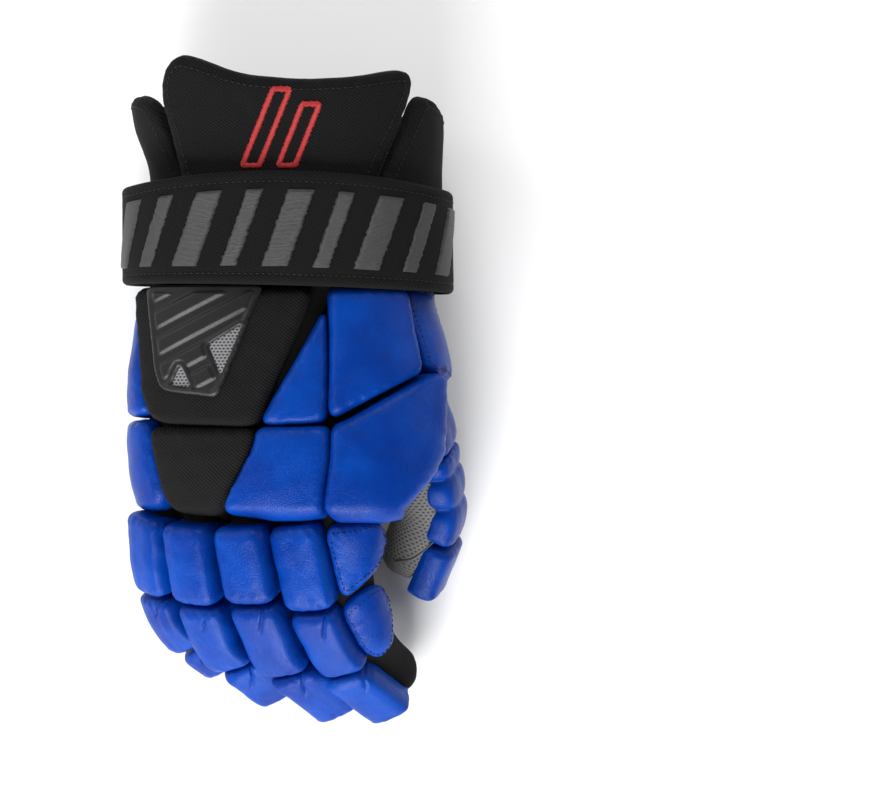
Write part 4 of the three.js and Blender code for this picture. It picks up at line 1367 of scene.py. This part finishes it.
    def make_stitches(self) -> None:
        """Seams on the palm."""
        threads = Threads()
        y = np.linspace(-44, 44, 80)
        lift = self.skin + GAP + 1.0
        for offset in (-4.6, 6.2, 8.8):
            x = seam_x(y) + offset
            threads.row(*self.under(x, y, lift + 0.25))
        x = np.linspace(-40, float(seam_x(np.array([-48]))[0]) - 5, 60)
        threads.row(*self.under(x, np.full(60, -48.0), lift + 0.2))
        threads.shape.build("palm_stitches", self.looks, Slot.PATCH, "stitch")

    @staticmethod
    def under(x: Array, y: Array, lift: float) -> tuple[Array, Array]:
        """Points and normals on the palm's underside."""
        x, y = np.broadcast_arrays(x, y)
        return HAND_LIMB.below(x, y, lift), downwards(len(x))


@dataclass(frozen=True)
class Band:
    """The strap's own surface: a band round the wrist."""

    x: float = -2.4
    z: float = 56.0
    wide: float = 76.0
    up: float = 46.5
    down: float = 56 - (FLOOR + 4.2 + GAP + 4)
    shape: float = 3.6
    thick: float = 4.0
    start: float = 50.0
    stop: float = 104.5

    def spot(self, angle: Array, lift: Array | float) -> tuple[Array, Array]:
        """Plan distance and height at angles from the top."""
        sine, cosine = np.sin(angle), np.cos(angle)
        exponent = 2 / np.where(cosine > 0, SHAPE, self.shape)
        x = self.x + (self.wide + lift) * power(sine, exponent)
        return x, self.z + (np.where(cosine > 0, self.up, self.down) + lift) * power(cosine, exponent)

    def at(self, angle: Array, share: Array, lift: Array | float) -> Array:
        """Points at angles from the top and shares of the way from the lower edge to the upper one."""
        angle, share, lift = np.broadcast_arrays(angle, share, lift)
        x, z = self.spot(angle, lift)
        side = x / 80
        low = self.low(x)
        high = self.stop - 8 * side**2 - 1.5 * side
        return np.stack([x, low + (high - low) * share, z], axis=-1)

    def low(self, x: Array | float) -> Array | float:
        """Place y of the lower edge at plan distances x."""
        side = x / 80
        return self.start - side**2 - 2.2 * side

    def angle_at(self, far: Array) -> Array:
        """Angles at distances round from the top over the outside."""
        angles, length = self.around()
        return np.interp(far, length - np.interp(0, angles, length), angles)

    def around(self) -> tuple[Array, Array]:
        """Angles all the way round the outside and how far round each is."""
        angles = np.linspace(-math.pi, math.pi, 4001)
        return angles, lengths(np.column_stack(self.spot(angles, self.thick)))


@dataclass
class Closure:
    """The wrist strap with its embroidery, the flap with its label, and the keepers."""

    looks: Looks
    band: Band = field(default_factory=Band)
    bar_wide: float = 13.0
    bar_high: float = 37.0
    bar_lean: float = 13.0
    bar_pitch: float = 22.0
    bar_rows: int = 40
    seam: float = 5.2  # distance of the strap's stitches from its edges

    def build(self) -> list[str]:
        """Make the closure's pieces."""
        self.make_strap()
        self.make_bars()
        self.make_flap()
        self.make_label()
        for name, x, within in (("strap_keeper_little", -51.0, 9.5), ("strap_keeper_thumb", 45.0, 12.0)):
            self.make_keeper(name, x, within)
        return ["wrist_strap", "closure_flap", "label", "strap_keeper_little", "strap_keeper_thumb"]

    def make_strap(self) -> None:
        """The band, with soft edges."""
        band = self.band
        girth = band.around()[1][-1]
        far = np.linspace(-girth / 2, girth / 2, 260, endpoint=False)
        angle = band.angle_at(far)
        wide = band.stop - band.start
        from_edge = np.array([0, 0.15, 0.5, 1.1, 1.9, 3.0, 4.5, 5.2, 5.9, 9, 15])
        y = np.concatenate([from_edge, [wide / 2], wide - from_edge[::-1]])
        near = np.minimum(y, wide - y)
        lift = band.thick * (0.4 + 0.6 * rounding(near, 3.2, 2.2))
        lift = lift - 0.35 * np.exp(-((near - self.seam) ** 2) / 0.3)
        share = np.concatenate([y, [wide, wide * 0.75, wide * 0.25, 0]]) / wide
        lift = np.concatenate([lift, [0.6, 0.1, 0.1, 0.6]])
        points = np.array([band.at(angle, *place) for place in zip(share, lift)])
        outside = points[: len(y)]
        folds = 0.22 * ripple(outside.reshape(-1, 3), 24, SEED + 5).reshape(outside.shape[:2])
        middle = np.array([band.x, 0, band.z])
        outside += unit((outside - middle) * [1, 0, 1]) * folds[..., None]
        points = np.vstack([points, points[:1]])
        share = np.append(share, share[0])
        flat = pairs(far, share[:, None] * wide)
        piece = Shape().grid(points, flat, wrap=True).build("wrist_strap_band", self.looks, Slot.CLOTH)
        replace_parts(piece, "wrist_strap")
        threads = Threads(long=2.0, pitch=2.9, thick=0.26)
        for edge in (self.seam / wide, 1 - self.seam / wide):
            line = band.at(angle, edge, band.thick - 0.15)
            threads.row(line, unit((line - middle) * [1, 0, 1]), closed=True)
        threads.shape.build("strap_stitches", self.looks, Slot.CLOTH, "dark_stitch")

    def make_bars(self) -> None:
        """A row of leaning satin-stitched bars round the front of the strap."""
        shape = Shape()
        band = self.band
        rng = np.random.default_rng(SEED)
        t = np.array([0, 0.02, 0.06, 0.12, *np.linspace(0.2, 0.8, 14), 0.88, 0.94, 0.98, 1])
        for k in range(-4, 5):
            wide = self.bar_wide * (0.62 if k % 2 else 1.0)
            ragged = 0.25 * rng.normal(size=(self.bar_rows, 2))
            rows, flats = [], []
            for h, (first, last) in zip(np.linspace(0, 1, self.bar_rows), ragged):
                left = k * self.bar_pitch + self.bar_lean * (h - 0.5) - wide / 2 + first
                far = left + (wide - first + last) * t
                edge = np.minimum(np.minimum(t, 1 - t) * wide, min(h, 1 - h) * self.bar_high)
                lift = band.thick - 0.2 + 1.15 * rounding(edge, 1.6, 2)
                rows.append(band.at(band.angle_at(far), 0.16 + 0.68 * h, lift))
                flats.append(np.column_stack([far, np.full(len(t), self.bar_high * h)]))
            shape.grid(np.array(rows), np.array(flats))
        shape.build("strap_bars", self.looks, Slot.CLOTH, "grey_thread")

    def make_flap(self) -> None:
        """The flap that closes the strap below the wrist."""
        corners = [(-46.5, 58), (37, 58), (46.5, 82), (45, 98), (35, 105), (-33, 105), (-43, 97), (-46.5, 82)]
        shape = self.plate(np.array(corners, float), FLOOR + 0.4, FLOOR + 4.2, 6)
        piece = shape.build("closure_flap_tape", self.looks, Slot.CLOTH, "hook")
        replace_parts(piece, "closure_flap")

    def make_label(self) -> None:
        """A woven label in the flap, with a stitched border and a plain block of colour."""
        corners = np.array([(-29, 62), (33, 62), (33, 95), (-29, 95)], float)
        shape = self.plate(corners, FLOOR + 0.25, FLOOR + 1.2, 2.5)
        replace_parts(shape.build("label_weave", self.looks, Slot.LABEL), "label")
        threads = Threads(long=1.9, pitch=2.5, thick=0.22)
        border = swell(rounded(corners, 2.5, 90), -1.8)
        line = np.column_stack([border, np.full(len(border), FLOOR + 0.3)])
        threads.row(line, downwards(len(line)), closed=True)
        threads.shape.build("label_stitches", self.looks, Slot.LABEL, "stitch")
        for name, finish, boxes in (
            ("label_block", "stitch", [(22, 66, 29, 91)]),
            ("label_bars", "orange_thread", [(-24 + 7 * k, 70, -20.5 + 7 * k, 87) for k in range(3)]),
        ):
            block = Shape()
            for x0, y0, x1, y1 in boxes:
                spots = np.array([[(x0, y0), (x1, y0)], [(x0, y1), (x1, y1)]], float)[:, ::-1]
                points = np.concatenate([spots, np.full((2, 2, 1), FLOOR + 0.15)], axis=-1)
                block.grid(points, spots)
            block.build(name, self.looks, Slot.LABEL, finish)

    @staticmethod
    def plate(corners: Array, low: float, high: float, radius: float) -> Shape:
        """A level plate with soft edges, from its corners in plan."""
        outline = rounded(corners, radius, 120)
        hub = outline.mean(0)
        half = (high - low) / 2
        inner = [hub + (outline - hub) * share for share in (0.4, 0.75, 0.9)]
        levels = [(ring, low) for ring in inner]
        for rise in np.sin(np.linspace(-math.pi / 2, math.pi / 2, 9)):
            ring = swell(outline, -half * (1 - math.sqrt(max(0.0, 1 - rise**2))))
            levels.append((ring, low + half + half * rise))
        levels += [(ring, high) for ring in inner[::-1]]
        rings = [np.column_stack([ring, np.full(len(ring), height)]) for ring, height in levels]
        return Shape().grid(np.array(rings), np.array([ring for ring, _ in levels]), wrap=True, caps=True)

    def make_keeper(self, name: str, x: float, within: float) -> None:
        """A short tape from the palm's hem over the strap's lower edge."""
        band = self.band
        edge = band.low(x)
        over = band.thick + GAP
        rows = [(edge - 8, -within), (edge - 5, -within * 0.55), (edge - 1.4, over - 3)]
        rows += [(edge + 0.4, over - 0.6), (edge + 2, over), (edge + 12, over), (edge + 22, over)]
        steps = np.linspace(-7.0, 7.0, 16)
        at = x - band.x + steps
        angle = math.pi - np.sign(at) * np.arcsin(np.abs(at / band.wide) ** (band.shape / 2))
        rings = []
        for y, lift in rows:
            spots = (band.spot(angle, lift + thick) for thick in (1.5, 0.0))
            top, sole = (np.column_stack([u, np.full(len(u), y), w]) for u, w in spots)
            rings.append(np.vstack([top, sole[::-1]]))
        flat = pairs(np.r_[steps, steps[::-1]], np.array(rows)[:, :1])
        shape = Shape().grid(np.array(rings), flat, wrap=True, caps=True)
        piece = shape.build(name + "_tape", self.looks, Slot.CLOTH)
        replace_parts(piece, name)


@dataclass
class Badge:
    """The moulded badge on the wrist guard and the silver mesh in its windows."""

    looks: Looks
    window: Corners = ((-40, 22), (-23.6, 32), (-34.4, 7))
    slot: Corners = ((-58, 2.6), (-48.5, 1.6), (-53.5, 12.5))
    frame: Corners = (
        (-70, 50.3), (-66.5, 11), (-64, 2), (-60, -0.3), (-36, -3.2), (-14, 50.3),
    )
    plate: Corners = ((-62, 20), (-60, 1), (-36.5, -0.5), (-22, 33), (-26, 40))
    high: float = 14.0
    base: float = 12.4
    rib_pitch: float = 11.5

    def build(self) -> list[str]:
        """Make the badge's pieces."""
        windows = [outline_of(corners, 1.5, 40, lift=self.high) for corners in (self.window, self.slot)]
        outline = outline_of(self.frame, 4, 150, lift=self.high)

        def rise(spots: Array) -> Array:
            """Height of the rubber: a rim round the outside and the windows, and slanting ribs between."""
            edge = distance(spots, outline)
            holes = np.minimum(*(distance(spots, window) for window in windows))
            rim = np.exp(-((edge - 1.6) ** 2)) * smoothstep(spots[:, 1], 47, 44)
            rim = rim + np.exp(-((holes - 1.3) ** 2) / 0.8)
            step = (spots[:, 0] * 0.5 - spots[:, 1] * 0.866 + 200) / self.rib_pitch
            ribs = smoothstep(np.abs(step - np.floor(step) - 0.5), 0.34, 0.25)
            between_rims = smoothstep(edge, 3.0, 3.8) * smoothstep(holes, 2.4, 3.2)
            fall = np.clip(np.minimum(edge, holes) / 0.7, 0, 1) ** 0.5
            return self.high + 0.7 * fall + 0.9 * np.clip(rim, 0, 1) + 1.25 * ribs * between_rims

        piece = self.sheet(outline, windows, rise, 0.9).build("badge_frame_rubber", self.looks, Slot.RUBBER)
        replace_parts(piece, "badge_frame")
        plate = outline_of(self.plate, 3, 80, lift=self.high)
        mesh = self.sheet(plate, [], lambda spots: np.full(len(spots), self.high + 0.2), 2.5)
        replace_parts(mesh.build("badge_mesh_net", self.looks, Slot.MESH), "badge_mesh")
        return ["badge_frame", "badge_mesh"]

    def sheet(
        self,
        outline: Array,
        holes: Sequence[Array],
        rise: Callable[[Array], Array],
        pitch: float,
    ) -> Shape:
        """A sheet on the hand with holes in it.

        Args:
            outline: Its outline on the hand.
            holes: Outlines of its holes.
            rise: Height of its face at places on the hand.
            pitch: Distance between its points.

        Returns:
            The shape, with walls round the outline and the holes.
        """
        low, high = outline.min(0), outline.max(0)
        s, v = np.meshgrid(np.arange(low[0], high[0], pitch), np.arange(low[1], high[1], pitch * 0.87))
        s = s + (np.arange(s.shape[0]) % 2)[:, None] * pitch / 2
        spots = np.column_stack([s.ravel(), v.ravel()])
        loops = [outline, *holes]

        def on_sheet(points: Array) -> Array:
            """Whether points are inside the outline and outside every hole."""
            clear = [~inside(points, hole) for hole in (outline[:0], *holes)]
            return inside(points, outline) & np.all(clear, axis=0)

        free = np.min([distance(spots, line) for line in loops], axis=0) > 0.45 * pitch
        places = np.vstack([*loops, spots[on_sheet(spots) & free]])
        edges, start = [], 0
        for line in loops:
            edges += [(start + k, start + (k + 1) % len(line)) for k in range(len(line))]
            start += len(line)
        made = delaunay_2d_cdt([Vector(p) for p in places], edges, [], 0, 1e-5)
        flat = np.array([tuple(p) for p in made[0]])
        middles = np.array([flat[list(face)].mean(0) for face in made[2]])
        faces = [face for face, good in zip(made[2], on_sheet(middles)) if good]
        shape = Shape().add(HAND_LIMB.at(flat[:, 0], flat[:, 1], rise(flat))[0], flat, faces)
        for line in loops:
            wall = [HAND_LIMB.at(line[:, 0], line[:, 1], height)[0] for height in (self.base, rise(line))]
            shape.grid(np.array(wall), np.array([line, line]), wrap=True)
        return shape


@dataclass
class Motif:
    """Two leaning bars embroidered in outline on the cuff."""

    looks: Looks
    pads: dict[str, Pillow]
    wide: float = 2.7
    high: float = 0.9

    def build(self) -> list[str]:
        """Make the embroidery."""
        shape = Shape()
        for corners in (
            [(-24, 107), (-9.5, 143), (-1.5, 143), (-16, 107)],
            [(-7, 107), (4.5, 136), (12.5, 136), (1, 107)],
        ):
            self.ribbon(shape, np.array(corners, float))
        shape.build("cuff_bars", self.looks, Slot.CLOTH, "red_thread")
        return ["cuff_bars"]

    def ribbon(self, shape: Shape, corners: Array) -> None:
        """A satin-stitched line round a closed outline in plan."""
        line = rounded(corners, 0.8, 220)
        along = np.linspace(0, 2 * np.linalg.norm(corners[1] - corners[0]) + 20, len(line))
        rng = np.random.default_rng(SEED)
        rows, flats = [], []
        for t in np.linspace(-1, 1, 9):
            spots = swell(line, 0.5 * self.wide * t)
            if abs(t) == 1:
                spots += (spots - line) * 0.16 * rng.normal(size=(len(line), 1))
            s = HAND_LIMB.across(spots[:, 0], spots[:, 1], 8.0)
            lift = self.high * math.sqrt(max(0.0, 1 - abs(t) ** 2.4)) - 0.12
            rows.append(self.pads["cuff_back"].on(np.column_stack([s, spots[:, 1]]), lift)[0])
            flats.append(np.column_stack([np.full(len(line), t), along]))
        shape.grid(np.array(rows), np.array(flats), wrap=True)


@dataclass
class Seams:
    """Stitches along the edges of the leather panels and the cuff."""

    looks: Looks
    pads: dict[str, Pillow]

    def build(self) -> list[str]:
        """Make the rows of stitches."""
        light = Threads(long=1.7, pitch=2.6, thick=0.3)
        for name in ("index_side_base", "index_side_middle", "side_panel_thumb"):
            self.follow(light, self.pads[name], 2.6)
        light.shape.build("panel_stitches", self.looks, Slot.BLUE, "navy_stitch")
        dark = Threads(long=2.1, pitch=3.0, thick=0.26)
        for name in ("cuff_back", "cuff_side_little", "cuff_side_thumb"):
            self.follow(dark, self.pads[name], 5.0)
        dark.shape.build("cuff_stitches", self.looks, Slot.CLOTH, "dark_stitch")
        return ["panel_stitches", "cuff_stitches"]

    @staticmethod
    def follow(threads: Threads, pad: Pillow, inset: float) -> None:
        """Lay a row of stitches round a pad, in from its outline."""
        line = swell(pad.outline, -inset)
        good = distance(line, pad.outline) > inset * 0.8
        spots = spread(np.vstack([line[good], line[good][:1]]), 160)
        threads.row(*pad.on(spots, 0.05), closed=True)


@dataclass(frozen=True)
class Lamp:
    """A soft light."""

    name: str
    place: tuple[float, float, float]
    size: float
    watts: float


@dataclass
class Studio:
    """The floor, the lights and the camera."""

    eye: tuple[float, float, float] = (-0.004, -0.001, 2.46)
    target: tuple[float, float, float] = (0.0727, -0.001, 0.05)
    lens: float = 200.0
    sensor: float = 36.0
    aim: tuple[float, float, float] = (0.0, 0.0, 0.04)  # what the lamps point at
    lamps: Sequence[Lamp] = (
        Lamp("key", (-0.5, -1.75, 0.85), 1.4, 84.0),
        Lamp("left", (-1.7, 0.6, 1.0), 1.3, 15.0),
        Lamp("right", (1.7, 0.7, 1.1), 1.3, 13.0),
        Lamp("back", (0.0, 1.8, 1.3), 1.5, 30.0),
    )

    def build(self) -> None:
        """Set the studio up."""
        scene = bpy.context.scene
        bpy.ops.mesh.primitive_plane_add(size=8, location=(0, 0, 0))
        floor = bpy.context.object
        floor.name = "floor"
        tree = Tree("floor")
        floor.data.materials.append(tree.finish(Base_Color=(0.95, 0.95, 0.955, 1), Roughness=0.9))
        made = [floor]
        for lamp in self.lamps:
            light = bpy.data.lights.new(lamp.name, "AREA")
            light.shape, light.size, light.energy = "SQUARE", lamp.size, lamp.watts
            holder = bpy.data.objects.new(lamp.name, light)
            holder.location = lamp.place
            ahead = Vector(self.aim) - Vector(lamp.place)
            holder.rotation_euler = ahead.to_track_quat("-Z", "Y").to_euler()
            made.append(holder)
        world = bpy.data.worlds.new("studio")
        world.use_nodes = True
        colour, strength = world.node_tree.nodes["Background"].inputs[:2]
        colour.default_value, strength.default_value = (1, 1, 1, 1), 0.18
        scene.world = world
        scene.view_settings.view_transform = "Standard"
        camera = bpy.data.objects.new("camera", bpy.data.cameras.new("camera"))
        camera.data.lens, camera.data.sensor_width = self.lens, self.sensor
        camera.location = self.eye
        camera.rotation_euler = (0, -math.atan2(self.target[0] - self.eye[0], self.eye[2] - self.target[2]), 0)
        scene.camera = camera
        made.append(camera)
        for item in made[1:]:
            scene.collection.objects.link(item)


def main() -> None:
    """Build the glove over its frame and set up the studio."""
    logging.basicConfig(level=logging.INFO, format="%(name)s: %(message)s")
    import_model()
    looks = Looks()
    padding = Padding(looks)
    body = (Lining(looks), Palm(looks), Rolls(looks), padding)
    for part in (*body, Closure(looks), Badge(looks), Motif(looks, padding.pads), Seams(looks, padding.pads)):
        log.info("%s: %s", type(part).__name__, ", ".join(part.build()))
    Studio().build()


if __name__ == "__main__":
    main()
